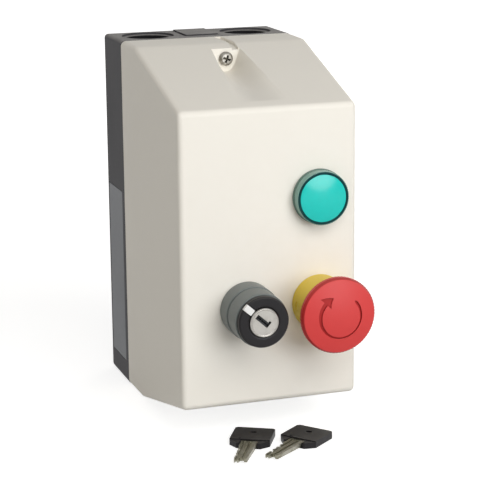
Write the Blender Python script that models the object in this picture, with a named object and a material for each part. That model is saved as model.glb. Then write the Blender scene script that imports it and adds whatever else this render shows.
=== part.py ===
"""Enclosed magnetic motor starter: wall box, contactor, overload relay and panel controls.

Metres. X to the right, Z up, front towards -Y. The origin is the centre of the rear face.
A depth is a distance in front of the rear face, so a point at depth d has y = -d.
"""
import math

import bmesh
import bpy
from mathutils import Vector

# General fits
GAP = 0.0003
OVERRUN = 0.001
WELD = 0.000001

# Enclosure
HOUSING_WIDTH = 0.099
HOUSING_HEIGHT = 0.197
BASE_DEPTH = 0.038
COVER_DEPTH = 0.104
STRIP_DEPTH = 0.0255
FRONT_TAPER = 0.0015
TOP_SLOPE_DROP = 0.024
BOTTOM_SLOPE_RISE = 0.017
BASE_WALL = 0.003
COVER_WALL = 0.003
COVER_EDGE_RADIUS = 0.0028
BASE_EDGE_RADIUS = 0.0022
RIM_WIDTH = 0.0052
RIM_DEPTH = 0.0045
GASKET_INSET = 0.0019
GASKET_WIDTH = 0.0014
GASKET_THICKNESS = 0.002

# Cover screws and their troughs
SCREW_INSET = 0.0078
SCREW_SEAT_DEPTH = 0.0715
SCREW_HEAD_RADIUS = 0.0038
SCREW_HEAD_HEIGHT = 0.0026
SCREW_HEAD_CHAMFER = 0.0009
SCREW_SHANK_RADIUS = 0.00175
SCREW_ENGAGEMENT = 0.012
SCREW_RECESS_WIDTH = 0.0011
SCREW_RECESS_LENGTH = 0.0046
SCREW_RECESS_DEPTH = 0.0014
BOSS_RADIUS = 0.0055
SEAT_RADIUS = 0.0075
TROUGH_FRONT_HALF_WIDTH = 0.0142
TROUGH_FADE = 0.0055
TROUGH_FLOOR_LIP = 0.0002
SEAL_GROOVE_X = 0.0056
SEAL_GROOVE_WIDTH = 0.0037
SEAL_GROOVE_LENGTH = 0.031
SEAL_GROOVE_RAMP = 0.0077
SEAL_GROOVE_BACK_SINK = 0.0010
SEAL_GROOVE_MIDDLE_SINK = 0.0019
SEAL_GROOVE_SEAT_SINK = 0.0036

# Cable entries, top pad, side label and wall fixings
ENTRY_X = 0.0288
ENTRY_DEPTH = 0.019
ENTRY_RIM_RADIUS = 0.0150
ENTRY_RIM_STEP = 0.0012
ENTRY_BORE_RADIUS = 0.0122
ENTRY_WELL = 0.0070
ENTRY_FLOOR = 0.0018
PAD_WIDTH = 0.0184
PAD_BACK = 0.0028
PAD_FRONT = 0.029
PAD_HEIGHT = 0.0006
PAD_GROOVE = 0.0009
PAD_GROOVE_DEPTH = 0.0020
LABEL_BACK = 0.0040
LABEL_FRONT = 0.0330
LABEL_BOTTOM = -0.0860
LABEL_TOP = 0.0130
LABEL_THICKNESS = 0.0004
WALL_HOLE_X = 0.038
WALL_HOLE_Z = 0.073
WALL_HOLE_RADIUS = 0.0026

# Contactor
CONTACTOR_WIDTH = 0.045
CONTACTOR_HEIGHT = 0.077
CONTACTOR_Z = 0.0305
MAGNET_CASE_HEIGHT = 0.070
MAGNET_CASE_DEPTH = 0.0397
ARC_CASE_DEPTH = 0.0397
CASE_WALL = 0.003
ARC_SIDE_WALL = 0.002
FIXING_PAD = 0.003
FIXING_PAD_RADIUS = 0.005
LUG_REACH = 0.0085
LUG_HEIGHT = 0.009
LUG_THICKNESS = 0.004
LUG_HOLE_INSET = 0.0045
LUG_RISE = 0.0285
FIXING_HEAD_RADIUS = 0.0036
FIXING_HEAD_HEIGHT = 0.0025
FIXING_SHANK_RADIUS = 0.0018
FIXING_DEPTH = 0.0038
CORE_THICKNESS = 0.014
CORE_SPAN = 0.053
CORE_YOKE = 0.0074
CORE_OUTER_LEG = 0.007
CORE_CENTRE_LEG = 0.013
CORE_LEG_LENGTH = 0.023
COIL_WIDTH = 0.034
COIL_LENGTH = 0.0185
COIL_MARGIN = 0.001
ARMATURE_TRAVEL = 0.005
ARMATURE_THICKNESS = 0.0067
CARRIER_FOOT_WIDTH = 0.020
CARRIER_FOOT_HEIGHT = 0.024
CARRIER_FOOT_DEPTH = 0.0057
COLUMN_WIDTH = 0.011
COLUMN_HEIGHT = 0.013
COLUMN_PROUD = 0.0005
BEAM_HEIGHT = 0.010
BEAM_BACK_FROM_FOOT = 0.0075
BEAM_DEPTH = 0.0075
BEAM_END = 0.0055
POLE_PITCH = 0.014
POLE_COUNT = 3
BRIDGE_WIDTH = 0.005
BRIDGE_LENGTH = 0.028
BRIDGE_THICKNESS = 0.0012
BRIDGE_SETBACK = 0.0035
CONTACT_TIP_HEIGHT = 0.0008
CONTACT_TIP_LENGTH = 0.004
TERMINAL_WIDTH = 0.009
TERMINAL_THICKNESS = 0.0015
TERMINAL_INNER = 0.009
TERMINAL_END_GAP = 0.0025
POCKET_LENGTH = 0.0145
POCKET_WALL = 0.0055
CHAMBER_FRONT_WALL = 0.005
RETURN_SPRING_RADIUS = 0.0115
RETURN_SPRING_WIRE = 0.0006
RETURN_SPRING_TURNS = 3

# Overload relay
RELAY_WIDTH = 0.045
RELAY_HEIGHT = 0.059
RELAY_DEPTH = 0.0717
RELAY_DROP = 0.004
LINK_WIDTH = 0.006
LINK_THICKNESS = 0.0012
LINK_REACH = 0.0115
LINK_SEAT = 0.017
BIMETAL_WIDTH = 0.005
BIMETAL_THICKNESS = 0.001
BIMETAL_LENGTH = 0.0277
MOTOR_POCKET_HEIGHT = 0.012
MOTOR_POCKET_DEPTH = 0.016
DIAL_X = -0.011
DIAL_DROP = 0.016
DIAL_RADIUS = 0.006
DIAL_SEAT = 0.005
DIAL_PROUD = 0.0012
DIAL_SLOT_WIDTH = 0.0014
DIAL_SLOT_LENGTH = 0.0072
DIAL_SLOT_DEPTH = 0.0012
RELAY_BUTTON_X = 0.011
RESET_DROP = 0.013
STOP_DROP = 0.030
RELAY_BUTTON_RADIUS = 0.004
RELAY_BUTTON_LENGTH = 0.010
RELAY_BUTTON_PROUD = 0.0035
RELAY_BUTTON_TRAVEL = 0.0025

# Panel controls
PANEL_HOLE_RADIUS = 0.01125
BARREL_RADIUS = 0.0109
BARREL_BACK_LENGTH = 0.0105
RIGHT_COLUMN_INSET = 0.0226
LOWER_ROW_PITCH = 0.0397
LOWER_ROW_Z = -0.0297
PILOT_Z = 0.0269
FIXING_COLLAR_WIDTH = 0.030
FIXING_COLLAR_HEIGHT = 0.040
FIXING_COLLAR_DEPTH = 0.0107
BLOCK_WIDTH = 0.010
BLOCK_HEIGHT = 0.030
BLOCK_DEPTH = 0.0307
BLOCK_FLOOR = 0.0032
PLUNGER_RADIUS = 0.003
PLUNGER_LENGTH = 0.0275
PLUNGER_LEAD = 0.0055

PILOT_BEZEL_RADIUS = 0.0145
PILOT_BEZEL_HEIGHT = 0.0017
PILOT_BORE_RADIUS = 0.008
PILOT_LENS_RADIUS = 0.0142
PILOT_LENS_SIDE = 0.0051
PILOT_LENS_DOME = 0.0016
PILOT_LENS_PLUG = 0.004
LAMP_HEIGHT = 0.038
LAMP_DEPTH = 0.0207
LAMP_NOSE_RADIUS = 0.006
LAMP_NOSE_LENGTH = 0.012

KEY_BEZEL_RADIUS = 0.0145
KEY_STEP_RADIUS = 0.0140
KEY_GROOVE_RADIUS = 0.0134
KEY_GROOVE_START = 0.0107
KEY_GROOVE_WIDTH = 0.0007
KEY_BEZEL_HEIGHT = 0.0237
KEY_BORE_RADIUS = 0.0093
KEY_ROTOR_RADIUS = 0.01335
KEY_ROTOR_HEIGHT = 0.0037
KEY_SHAFT_RADIUS = 0.009
KEY_POINTER_ANGLE = math.radians(-48)
KEY_POINTER_WIDTH = 0.0034
KEY_POINTER_DEPTH = 0.0020
KEY_POINTER_CLEARANCE = 0.0009
LOCK_RADIUS = 0.0077
LOCK_DEPTH = 0.020
LOCK_PROUD = 0.001
LOCK_BEVEL = 0.0006
KEYWAY_WIDTH = 0.0026
KEYWAY_OUTER = 0.0056
KEYWAY_INNER = 0.0027
KEYWAY_DEPTH = 0.017
KEYWAY_NOTCH = 0.0012
KEY_TRAVEL = 0.004

ESTOP_BEZEL_RADIUS = 0.0148
ESTOP_BEZEL_HEIGHT = 0.0187
ESTOP_BEZEL_CHAMFER = 0.0010
ESTOP_BORE_RADIUS = 0.0083
ESTOP_STEM_RADIUS = 0.008
ESTOP_STEM_NECK_RADIUS = 0.0055
ESTOP_SHOULDER = 0.0025
ESTOP_SPRING_LENGTH = 0.0137
ESTOP_TRAVEL = 0.0055
ESTOP_HEAD_RADIUS = 0.020
ESTOP_HEAD_LIFT = 0.004
ESTOP_SKIRT_RADIUS = 0.0178
ESTOP_SKIRT_HEIGHT = 0.0033
ESTOP_RIM_HEIGHT = 0.0035
ESTOP_DOME = 0.0035
ESTOP_SOCKET_DEPTH = 0.003
ESTOP_HEAD_CLEARANCE = 0.0015
ESTOP_SPRING_WIRE = 0.0005
ESTOP_SPRING_TURNS = 4

# Loose keys, lying on the surface that the box stands on
FIRST_KEY_X = -0.0141
FIRST_KEY_AHEAD = 0.0108
FIRST_KEY_TURN = math.radians(-29)
SECOND_KEY_X = 0.0122
SECOND_KEY_AHEAD = 0.0190
SECOND_KEY_TURN = math.radians(-51)
BOW_WIDTH = 0.0213
BOW_LENGTH = 0.0223
BOW_THICKNESS = 0.0036
BOW_FRONT_CORNER = 0.0044
BOW_BACK_CORNER = 0.0012
BOW_EDGE_CHAMFER = 0.0006
BLADE_WIDTH = 0.0086
BLADE_TIP_WIDTH = 0.0064
BLADE_THICKNESS = 0.0020
BLADE_LENGTH = 0.0227
BLADE_TANG = 0.007
BLADE_FORK_WIDTH = 0.0016
BLADE_FORK_DEPTH = 0.0014
BLADE_SHORT_PRONG = 0.0012
BLADE_NOTCH = 0.0009
BLADE_NOTCH_COUNT = 3

# Inside wires
WIRE_RADIUS = 0.0011
WIRE_SAMPLES = 5
WIRE_LEAD_OUT = 0.004
WIRE_STUB = 0.0015

# Facets
ROUND_STEPS = 32
SMALL_STEPS = 16
ARC_STEPS = 8
TROUGH_STATIONS = 6
WIRE_ROUND_STEPS = 2
SPRING_ROUND_STEPS = 1
EDGE_SEGMENTS = 3
CHAMFER_SEGMENTS = 1
POINTS_PER_CURL = 9
SMOOTH_ANGLE = math.radians(35)
FLAT_CAP = 0.99999
DOME_SHARES = (0.0, 0.3, 0.55, 0.75, 0.9, 1.0)

# Places worked out from the sizes above
HALF_WIDTH = HOUSING_WIDTH / 2
TOP = HOUSING_HEIGHT / 2
BOTTOM = -TOP
COVER_BACK = BASE_DEPTH + GAP
STRIP_FRONT = COVER_BACK + STRIP_DEPTH
PANEL_FRONT = BASE_DEPTH + COVER_DEPTH
PANEL_BACK = PANEL_FRONT - COVER_WALL
RIGHT_COLUMN_X = HALF_WIDTH - RIGHT_COLUMN_INSET
KEY_X = RIGHT_COLUMN_X - LOWER_ROW_PITCH
KEY_PLACES = (
    (FIRST_KEY_X, PANEL_FRONT + FIRST_KEY_AHEAD, FIRST_KEY_TURN),
    (SECOND_KEY_X, PANEL_FRONT + SECOND_KEY_AHEAD, SECOND_KEY_TURN),
)
CONTROL_SEAT = PANEL_FRONT + GAP
CONTACTOR_BACK = BASE_WALL + FIXING_PAD + GAP
MAGNET_CASE_FRONT = CONTACTOR_BACK + MAGNET_CASE_DEPTH
ARC_BACK = MAGNET_CASE_FRONT + GAP
ARC_FRONT = ARC_BACK + ARC_CASE_DEPTH
CORE_BACK = CONTACTOR_BACK + CASE_WALL + GAP
CORE_YOKE_FRONT = CORE_BACK + CORE_YOKE
CORE_LEG_FRONT = CORE_YOKE_FRONT + CORE_LEG_LENGTH
ARMATURE_BACK = CORE_LEG_FRONT + ARMATURE_TRAVEL + GAP
CARRIER_BACK = ARMATURE_BACK + ARMATURE_THICKNESS + GAP
CARRIER_FOOT_FRONT = CARRIER_BACK + CARRIER_FOOT_DEPTH
BEAM_BACK = CARRIER_FOOT_FRONT + BEAM_BACK_FROM_FOOT
BRIDGE_BACK = BEAM_BACK + BRIDGE_SETBACK
CONTACT_TIP_BACK = BRIDGE_BACK - CONTACT_TIP_HEIGHT
TERMINAL_FRONT = CONTACT_TIP_BACK - ARMATURE_TRAVEL - GAP
TERMINAL_BACK = TERMINAL_FRONT - TERMINAL_THICKNESS
POCKET_INNER = CONTACTOR_HEIGHT / 2 - POCKET_LENGTH
CHAMBER_HALF_HEIGHT = POCKET_INNER - POCKET_WALL
LINK_BACK = TERMINAL_FRONT + GAP
RELAY_TOP = CONTACTOR_Z - CONTACTOR_HEIGHT / 2 - RELAY_DROP
RELAY_BOTTOM = RELAY_TOP - RELAY_HEIGHT
RELAY_FRONT = CONTACTOR_BACK + RELAY_DEPTH
COLLAR_FRONT = PANEL_BACK - GAP
COLLAR_BACK = COLLAR_FRONT - FIXING_COLLAR_DEPTH
BLOCK_FRONT = COLLAR_BACK - GAP
BLOCK_BACK = BLOCK_FRONT - BLOCK_DEPTH
BARREL_BACK = PANEL_BACK - BARREL_BACK_LENGTH
PLUNGER_FRONT = BLOCK_FRONT + PLUNGER_LEAD + GAP
SHAFT_BACK = PLUNGER_FRONT + GAP
POLES = [(index - (POLE_COUNT - 1) / 2) * POLE_PITCH for index in range(POLE_COUNT)]


def clear_scene():
    for old in list(bpy.data.objects):
        bpy.data.objects.remove(old, do_unlink=True)


def linear(channel):
    """One display colour channel, 0 to 255, as a linear value."""
    share = channel / 255
    if share <= 0.04045:
        return share / 12.92
    return ((share + 0.055) / 1.055) ** 2.4


def finish(name, red, green, blue, roughness, metallic=0.0):
    made = bpy.data.materials.new(name)
    made.use_nodes = True
    shader = made.node_tree.nodes["Principled BSDF"]
    shader.inputs["Base Color"].default_value = (linear(red), linear(green), linear(blue), 1)
    shader.inputs["Roughness"].default_value = roughness
    shader.inputs["Metallic"].default_value = metallic
    return made


def add_mesh(name, bm, look=None, origin=(0, 0, 0)):
    """A closed mesh given in world places, with its object's origin at the given point."""
    bmesh.ops.remove_doubles(bm, verts=bm.verts, dist=WELD)
    bmesh.ops.recalc_face_normals(bm, faces=bm.faces)
    bmesh.ops.translate(bm, verts=bm.verts, vec=-Vector(origin))
    mesh = bpy.data.meshes.new(name)
    bm.to_mesh(mesh)
    bm.free()
    if look:
        mesh.materials.append(look)
    made = bpy.data.objects.new(name, mesh)
    made.location = origin
    bpy.context.scene.collection.objects.link(made)
    return made


def smooth(made):
    made.data.shade_smooth()
    made.data.set_sharp_from_angle(angle=SMOOTH_ANGLE)
    return made


def prism(outline, half_width, x=0.0):
    """A bmesh of a (depth, z) outline spread to both sides of x, by a width or a rule of depth."""
    spread = half_width if callable(half_width) else lambda depth: half_width
    bm = bmesh.new()
    sides = []
    for side in (-1, 1):
        sides.append([bm.verts.new((x + side * spread(depth), -depth, z)) for depth, z in outline])
    left, right = sides
    bm.faces.new(left)
    bm.faces.new(list(reversed(right)))
    for index in range(len(outline)):
        after = (index + 1) % len(outline)
        bm.faces.new((left[index], right[index], right[after], left[after]))
    return bm


def block(width, back, front, bottom, top, x=0.0):
    outline = ((back, bottom), (front, bottom), (front, top), (back, top))
    return prism(outline, width / 2, x)


def frame_ring(outer, inner, back, front, z=0.0):
    """A rectangular ring: outer and inner are (half width, half height), set square to Y."""
    bm = bmesh.new()
    loops = []
    for half_width, half_height in (outer, inner):
        for depth in (back, front):
            corners = ((-1, -1), (1, -1), (1, 1), (-1, 1))
            loops.append([bm.verts.new((i * half_width, -depth, z + j * half_height)) for i, j in corners])
    outer_back, outer_front, inner_back, inner_front = loops
    for first, second in (
        (outer_back, outer_front), (outer_front, inner_front),
        (inner_front, inner_back), (inner_back, outer_back),
    ):
        for index in range(4):
            after = (index + 1) % 4
            bm.faces.new((first[index], first[after], second[after], second[index]))
    return bm


def turned(profile, x, z, steps=ROUND_STEPS, closed=False):
    """A bmesh turned about the Y axis through (x, z), from (radius, depth) points."""
    bm = bmesh.new()
    points = [bm.verts.new((radius, -depth, 0)) for radius, depth in profile]
    edges = [bm.edges.new(pair) for pair in zip(points, points[1:])]
    if closed:
        edges.append(bm.edges.new((points[-1], points[0])))
    bmesh.ops.spin(
        bm, geom=points + edges, cent=(0, 0, 0), axis=(0, 1, 0), angle=math.tau, steps=steps, use_merge=True
    )
    bmesh.ops.remove_doubles(bm, verts=bm.verts, dist=WELD)
    bmesh.ops.recalc_face_normals(bm, faces=bm.faces)
    hubs = [vert for vert in bm.verts if math.hypot(vert.co.x, vert.co.z) < WELD]
    flat = [hub for hub in hubs if all(abs(face.normal.y) > FLAT_CAP for face in hub.link_faces)]
    bmesh.ops.dissolve_verts(bm, verts=flat)
    bmesh.ops.translate(bm, verts=bm.verts, vec=(x, 0, z))
    return bm


def rod(radius, back, front, x, z, steps=ROUND_STEPS):
    return turned(((0, front), (radius, front), (radius, back), (0, back)), x, z, steps)


def upright_rod(radius, low, high, x, depth, steps=ROUND_STEPS):
    """A round rod along Z."""
    bm = rod(radius, -high, -low, 0, 0, steps)
    for vert in bm.verts:
        side, along, other = vert.co
        vert.co = (x + side, -depth + other, along)
    return bm


def as_tool(made):
    made.hide_render = True
    made.display_type = "WIRE"
    return made


def combine(target, tool, operation):
    as_tool(tool)
    step = target.modifiers.new(tool.name, "BOOLEAN")
    step.operation = operation
    step.solver = "EXACT"
    step.object = tool


def cut(target, name, bm):
    combine(target, add_mesh(f"{target.name}.cut.{name}", bm), "DIFFERENCE")


def join(target, name, bm):
    combine(target, add_mesh(f"{target.name}.add.{name}", bm), "UNION")


def bevel_edges(bm, edges, radius, segments=EDGE_SEGMENTS):
    bmesh.ops.bevel(
        bm, geom=edges, offset=radius, offset_type="OFFSET", segments=segments, profile=0.5,
        affect="EDGES", clamp_overlap=True,
    )


def on_depth(edge, depth):
    return all(abs(vert.co.y + depth) < WELD for vert in edge.verts)


def smooth_route(points):
    """Sampled points of a smooth curve through the given ones, straight for a short way at each end."""
    lead_in = points[0] + (points[1] - points[0]).normalized() * WIRE_STUB
    lead_out = points[-1] + (points[-2] - points[-1]).normalized() * WIRE_STUB
    inner = [lead_in, *points[1:-1], lead_out]
    padded = [inner[0] * 2 - inner[1]] + inner + [inner[-1] * 2 - inner[-2]]
    route = [points[0]]
    for before, start, end, after in zip(padded, padded[1:], padded[2:], padded[3:]):
        for step in range(WIRE_SAMPLES):
            t = step / WIRE_SAMPLES
            pull = (end - before) * t + (before * 2 - start * 5 + end * 4 - after) * t ** 2
            route.append(start + (pull + (start * 3 - before - end * 3 + after) * t ** 3) / 2)
    return route + [lead_out, points[-1]]


def wire_tube(name, points, radius, resolution, look):
    curve = bpy.data.curves.new(name, "CURVE")
    curve.dimensions = "3D"
    curve.bevel_depth = radius
    curve.bevel_resolution = resolution
    curve.use_fill_caps = True
    spline = curve.splines.new("POLY")
    spline.points.add(len(points) - 1)
    for place, point in zip(spline.points, points):
        place.co = (*point, 1)
    curve.materials.append(look)
    made = bpy.data.objects.new(name, curve)
    bpy.context.scene.collection.objects.link(made)
    return made


def coil_spring(name, radius, wire, turns, back, front, x, z, look):
    """A helix of round wire between two seats square to Y, with its least gap to itself printed."""
    first = back + wire + GAP
    last = front - wire - GAP
    count = turns * POINTS_PER_CURL
    points = []
    for index in range(count + 1):
        angle = math.tau * index / POINTS_PER_CURL
        depth = first + (last - first) * index / count
        points.append(Vector((x + radius * math.cos(angle), -depth, z + radius * math.sin(angle))))
    apart = min(
        (points[i] - points[j]).length - 2 * wire
        for i in range(count + 1) for j in range(i + POINTS_PER_CURL // 2, count + 1)
    )
    print(f"{name}: least gap between curls {apart * 1000:.2f} mm")
    return wire_tube(name, points, wire, SPRING_ROUND_STEPS, look)


def slope_drop(depth, drop):
    """How far the sloped end lies inside the box's end at a depth, where the front edge is drop inside."""
    return max(0.0, drop * (depth - STRIP_FRONT) / (PANEL_FRONT - STRIP_FRONT))


def cover_half_width(depth):
    return HALF_WIDTH - FRONT_TAPER * (depth - COVER_BACK) / (PANEL_FRONT - COVER_BACK)


def trough(side, drop, grow=0.0):
    """The scoop before a cover screw: round at the seat, wider and shallower towards the front."""
    seat = SCREW_SEAT_DEPTH - grow
    fade = PANEL_FRONT - TROUGH_FADE + grow
    end_floor = slope_drop(fade, drop) + TROUGH_FLOOR_LIP
    bm = bmesh.new()
    loops = []
    for station in range(TROUGH_STATIONS):
        share = station / (TROUGH_STATIONS - 1)
        depth = seat + (fade - seat) * share
        half = SEAT_RADIUS + (TROUGH_FRONT_HALF_WIDTH - SEAT_RADIUS) * share + grow
        middle = max(SCREW_INSET, slope_drop(depth, drop))
        floor = SCREW_INSET + SEAT_RADIUS + (end_floor - SCREW_INSET - SEAT_RADIUS) * share + grow
        outline = [(half, -SEAT_RADIUS)]
        for step in range(ARC_STEPS + 1):
            angle = math.pi * step / ARC_STEPS
            outline.append((half * math.cos(angle), middle + (floor - middle) * math.sin(angle)))
        outline.append((-half, -SEAT_RADIUS))
        loops.append([bm.verts.new((x, -depth, side * (TOP - inset))) for x, inset in outline])
    bm.faces.new(loops[0])
    bm.faces.new(list(reversed(loops[-1])))
    for first, second in zip(loops, loops[1:]):
        for index in range(len(first)):
            after = (index + 1) % len(first)
            bm.faces.new((first[index], first[after], second[after], second[index]))
    bmesh.ops.recalc_face_normals(bm, faces=bm.faces)
    return bm


def seal_groove(side):
    """The narrow groove that runs back from the right of a screw's seat over the straight strip."""
    back = SCREW_SEAT_DEPTH - SEAL_GROOVE_LENGTH
    bend = SCREW_SEAT_DEPTH - SEAL_GROOVE_RAMP
    front = SCREW_SEAT_DEPTH + OVERRUN
    insets = (
        (back, SEAL_GROOVE_BACK_SINK), (bend, SEAL_GROOVE_MIDDLE_SINK), (front, SEAL_GROOVE_SEAT_SINK),
        (front, -OVERRUN), (back, -OVERRUN),
    )
    outline = [(depth, side * (TOP - inset)) for depth, inset in insets]
    return prism(outline, SEAL_GROOVE_WIDTH / 2, SEAL_GROOVE_X)


def build_rear_housing(look):
    bm = block(HOUSING_WIDTH, 0, BASE_DEPTH, BOTTOM, TOP)
    bevel_edges(bm, [edge for edge in bm.edges if not on_depth(edge, BASE_DEPTH)], BASE_EDGE_RADIUS)
    housing = add_mesh("rear_housing", bm, look)
    wide = (HALF_WIDTH - BASE_WALL, TOP - BASE_WALL)
    rim = (HALF_WIDTH - RIM_WIDTH, TOP - RIM_WIDTH)
    ledge = BASE_DEPTH - RIM_DEPTH
    cut(housing, "tray", block(2 * wide[0], BASE_WALL, ledge, -wide[1], wide[1]))
    cut(housing, "mouth", block(2 * rim[0], ledge - OVERRUN, BASE_DEPTH + OVERRUN, -rim[1], rim[1]))
    for side, end in ((1, "top"), (-1, "bottom")):
        post_z = side * (TOP - SCREW_INSET)
        join(housing, f"post_{end}", rod(BOSS_RADIUS, BASE_WALL / 2, BASE_DEPTH, 0, post_z))
        for x, hand in ((-ENTRY_X, "left"), (ENTRY_X, "right")):
            inner = side * (TOP - ENTRY_WELL - ENTRY_FLOOR)
            outer = side * (TOP - BASE_WALL / 2)
            well = upright_rod(ENTRY_RIM_RADIUS, min(inner, outer), max(inner, outer), x, ENTRY_DEPTH)
            join(housing, f"well_{end}_{hand}", well)
    for x, z in lug_places():
        join(housing, f"pad_{'left' if x < 0 else 'right'}", rod(
            FIXING_PAD_RADIUS, BASE_WALL / 2, BASE_WALL + FIXING_PAD, x, z))
    relay_middle = (RELAY_TOP + RELAY_BOTTOM) / 2
    join(housing, "relay_pad", block(
        RELAY_WIDTH / 2, BASE_WALL / 2, BASE_WALL + FIXING_PAD,
        relay_middle - RELAY_HEIGHT / 4, relay_middle + RELAY_HEIGHT / 4))
    join(housing, "top_pad", block(PAD_WIDTH, PAD_BACK, PAD_FRONT, TOP - BASE_WALL / 2, TOP + PAD_HEIGHT))
    for x in (-1, 1):
        side_x = x * (PAD_WIDTH + PAD_GROOVE) / 2
        cut(housing, f"pad_side_{x}", block(
            PAD_GROOVE, PAD_BACK, PAD_FRONT + PAD_GROOVE, TOP - PAD_GROOVE_DEPTH, TOP + OVERRUN, side_x))
    cut(housing, "pad_front", block(
        PAD_WIDTH + PAD_GROOVE, PAD_FRONT, PAD_FRONT + PAD_GROOVE, TOP - PAD_GROOVE_DEPTH, TOP + OVERRUN))
    for side, end in ((1, "top"), (-1, "bottom")):
        cut(housing, f"post_bore_{end}", rod(
            SCREW_SHANK_RADIUS + GAP, BASE_DEPTH - SCREW_ENGAGEMENT - GAP, BASE_DEPTH + OVERRUN,
            0, side * (TOP - SCREW_INSET), SMALL_STEPS))
        for x, hand in ((-ENTRY_X, "left"), (ENTRY_X, "right")):
            for part, radius, sunk in (
                ("rim", ENTRY_RIM_RADIUS - GAP, ENTRY_RIM_STEP), ("bore", ENTRY_BORE_RADIUS, ENTRY_WELL)
            ):
                inner = side * (TOP - sunk)
                outer = side * (TOP + OVERRUN)
                hole = upright_rod(radius, min(inner, outer), max(inner, outer), x, ENTRY_DEPTH)
                cut(housing, f"{part}_{end}_{hand}", hole)
        for x in (-WALL_HOLE_X, WALL_HOLE_X):
            cut(housing, f"wall_hole_{end}_{'left' if x < 0 else 'right'}", rod(
                WALL_HOLE_RADIUS, -OVERRUN, BASE_WALL + OVERRUN, x, side * WALL_HOLE_Z, SMALL_STEPS))
    groove_outer = GASKET_INSET - GAP
    groove_inner = GASKET_INSET + GASKET_WIDTH + GAP
    cut(housing, "gasket_groove", frame_ring(
        (HALF_WIDTH - groove_outer, TOP - groove_outer), (HALF_WIDTH - groove_inner, TOP - groove_inner),
        BASE_DEPTH - GASKET_THICKNESS - GAP, BASE_DEPTH + OVERRUN))
    pad_front = BASE_WALL + FIXING_PAD
    for x, z in lug_places():
        cut(housing, f"fixing_bore_{'left' if x < 0 else 'right'}", rod(
            FIXING_SHANK_RADIUS + GAP, pad_front - FIXING_DEPTH, pad_front + OVERRUN, x, z, SMALL_STEPS))
    cut(housing, "label_recess", block(
        2 * (LABEL_THICKNESS + GAP), LABEL_BACK - GAP, LABEL_FRONT + GAP, LABEL_BOTTOM - GAP, LABEL_TOP + GAP,
        -HALF_WIDTH))


def build_housing_trim(rubber, paper):
    outer = (HALF_WIDTH - GASKET_INSET, TOP - GASKET_INSET)
    inner = (outer[0] - GASKET_WIDTH, outer[1] - GASKET_WIDTH)
    add_mesh("cover_gasket", frame_ring(outer, inner, BASE_DEPTH - GASKET_THICKNESS, BASE_DEPTH), rubber)
    label_x = -HALF_WIDTH + LABEL_THICKNESS / 2
    add_mesh("side_label", block(
        LABEL_THICKNESS, LABEL_BACK, LABEL_FRONT, LABEL_BOTTOM, LABEL_TOP, label_x), paper)


def cover_outline(back, front, strip, inset, drop_extra):
    """The cover's side outline from rim to panel, taken in by inset at its straight ends."""
    top_front = TOP - slope_drop(front, TOP_SLOPE_DROP) - drop_extra(TOP_SLOPE_DROP)
    bottom_front = BOTTOM + slope_drop(front, BOTTOM_SLOPE_RISE) + drop_extra(BOTTOM_SLOPE_RISE)
    return [
        (back, BOTTOM + inset), (strip, BOTTOM + inset), (front, bottom_front),
        (front, top_front), (strip, TOP - inset), (back, TOP - inset),
    ]


def slope_wall(drop):
    """The wall's thickness along Z where the end slopes."""
    return COVER_WALL / math.cos(math.atan2(drop, PANEL_FRONT - STRIP_FRONT))


def build_front_cover(look):
    outline = cover_outline(COVER_BACK, PANEL_FRONT, STRIP_FRONT, 0.0, lambda drop: 0.0)
    bm = prism(outline, cover_half_width)
    bevel_edges(bm, [edge for edge in bm.edges if not on_depth(edge, COVER_BACK)], COVER_EDGE_RADIUS)
    cover = add_mesh("front_cover", bm, look)
    hollow = cover_outline(COVER_BACK - OVERRUN, PANEL_BACK, STRIP_FRONT, COVER_WALL, slope_wall)
    void = add_mesh("front_cover.cut.void", prism(hollow, lambda depth: cover_half_width(depth) - COVER_WALL))
    ends = ((1, "top", TOP_SLOPE_DROP), (-1, "bottom", BOTTOM_SLOPE_RISE))
    for side, end, drop in ends:
        cut(void, f"trough_{end}", trough(side, drop, COVER_WALL))
    combine(cover, void, "DIFFERENCE")
    for side, end, drop in ends:
        z = side * (TOP - SCREW_INSET)
        join(cover, f"boss_{end}", rod(BOSS_RADIUS, COVER_BACK, SCREW_SEAT_DEPTH - COVER_WALL / 2, 0, z))
    for side, end, drop in ends:
        z = side * (TOP - SCREW_INSET)
        cut(cover, f"trough_{end}", trough(side, drop))
        cut(cover, f"seal_groove_{end}", seal_groove(side))
        cut(cover, f"screw_bore_{end}", rod(
            SCREW_SHANK_RADIUS + GAP, COVER_BACK - OVERRUN, SCREW_SEAT_DEPTH + OVERRUN, 0, z, SMALL_STEPS))
    for name, x, z in control_places():
        cut(cover, f"hole_{name}", rod(PANEL_HOLE_RADIUS, PANEL_BACK - OVERRUN, PANEL_FRONT + OVERRUN, x, z))


def build_cover_screws(look):
    seat = SCREW_SEAT_DEPTH + GAP
    face = seat + SCREW_HEAD_HEIGHT
    tip = BASE_DEPTH - SCREW_ENGAGEMENT
    edge = SCREW_HEAD_CHAMFER
    for side, end in ((1, "top"), (-1, "bottom")):
        z = side * (TOP - SCREW_INSET)
        profile = (
            (0, face), (SCREW_HEAD_RADIUS - edge, face), (SCREW_HEAD_RADIUS, face - edge),
            (SCREW_HEAD_RADIUS, seat), (SCREW_SHANK_RADIUS, seat), (SCREW_SHANK_RADIUS, tip), (0, tip),
        )
        bm = turned(profile, 0, z, SMALL_STEPS)
        screw = smooth(add_mesh(f"cover_screw_{end}", bm, look, (0, -face, z)))
        for width, height, arm in (
            (SCREW_RECESS_LENGTH, SCREW_RECESS_WIDTH, "across"),
            (SCREW_RECESS_WIDTH, SCREW_RECESS_LENGTH, "upright"),
        ):
            cut(screw, arm, block(
                width, face - SCREW_RECESS_DEPTH, face + OVERRUN, z - height / 2, z + height / 2))


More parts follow.
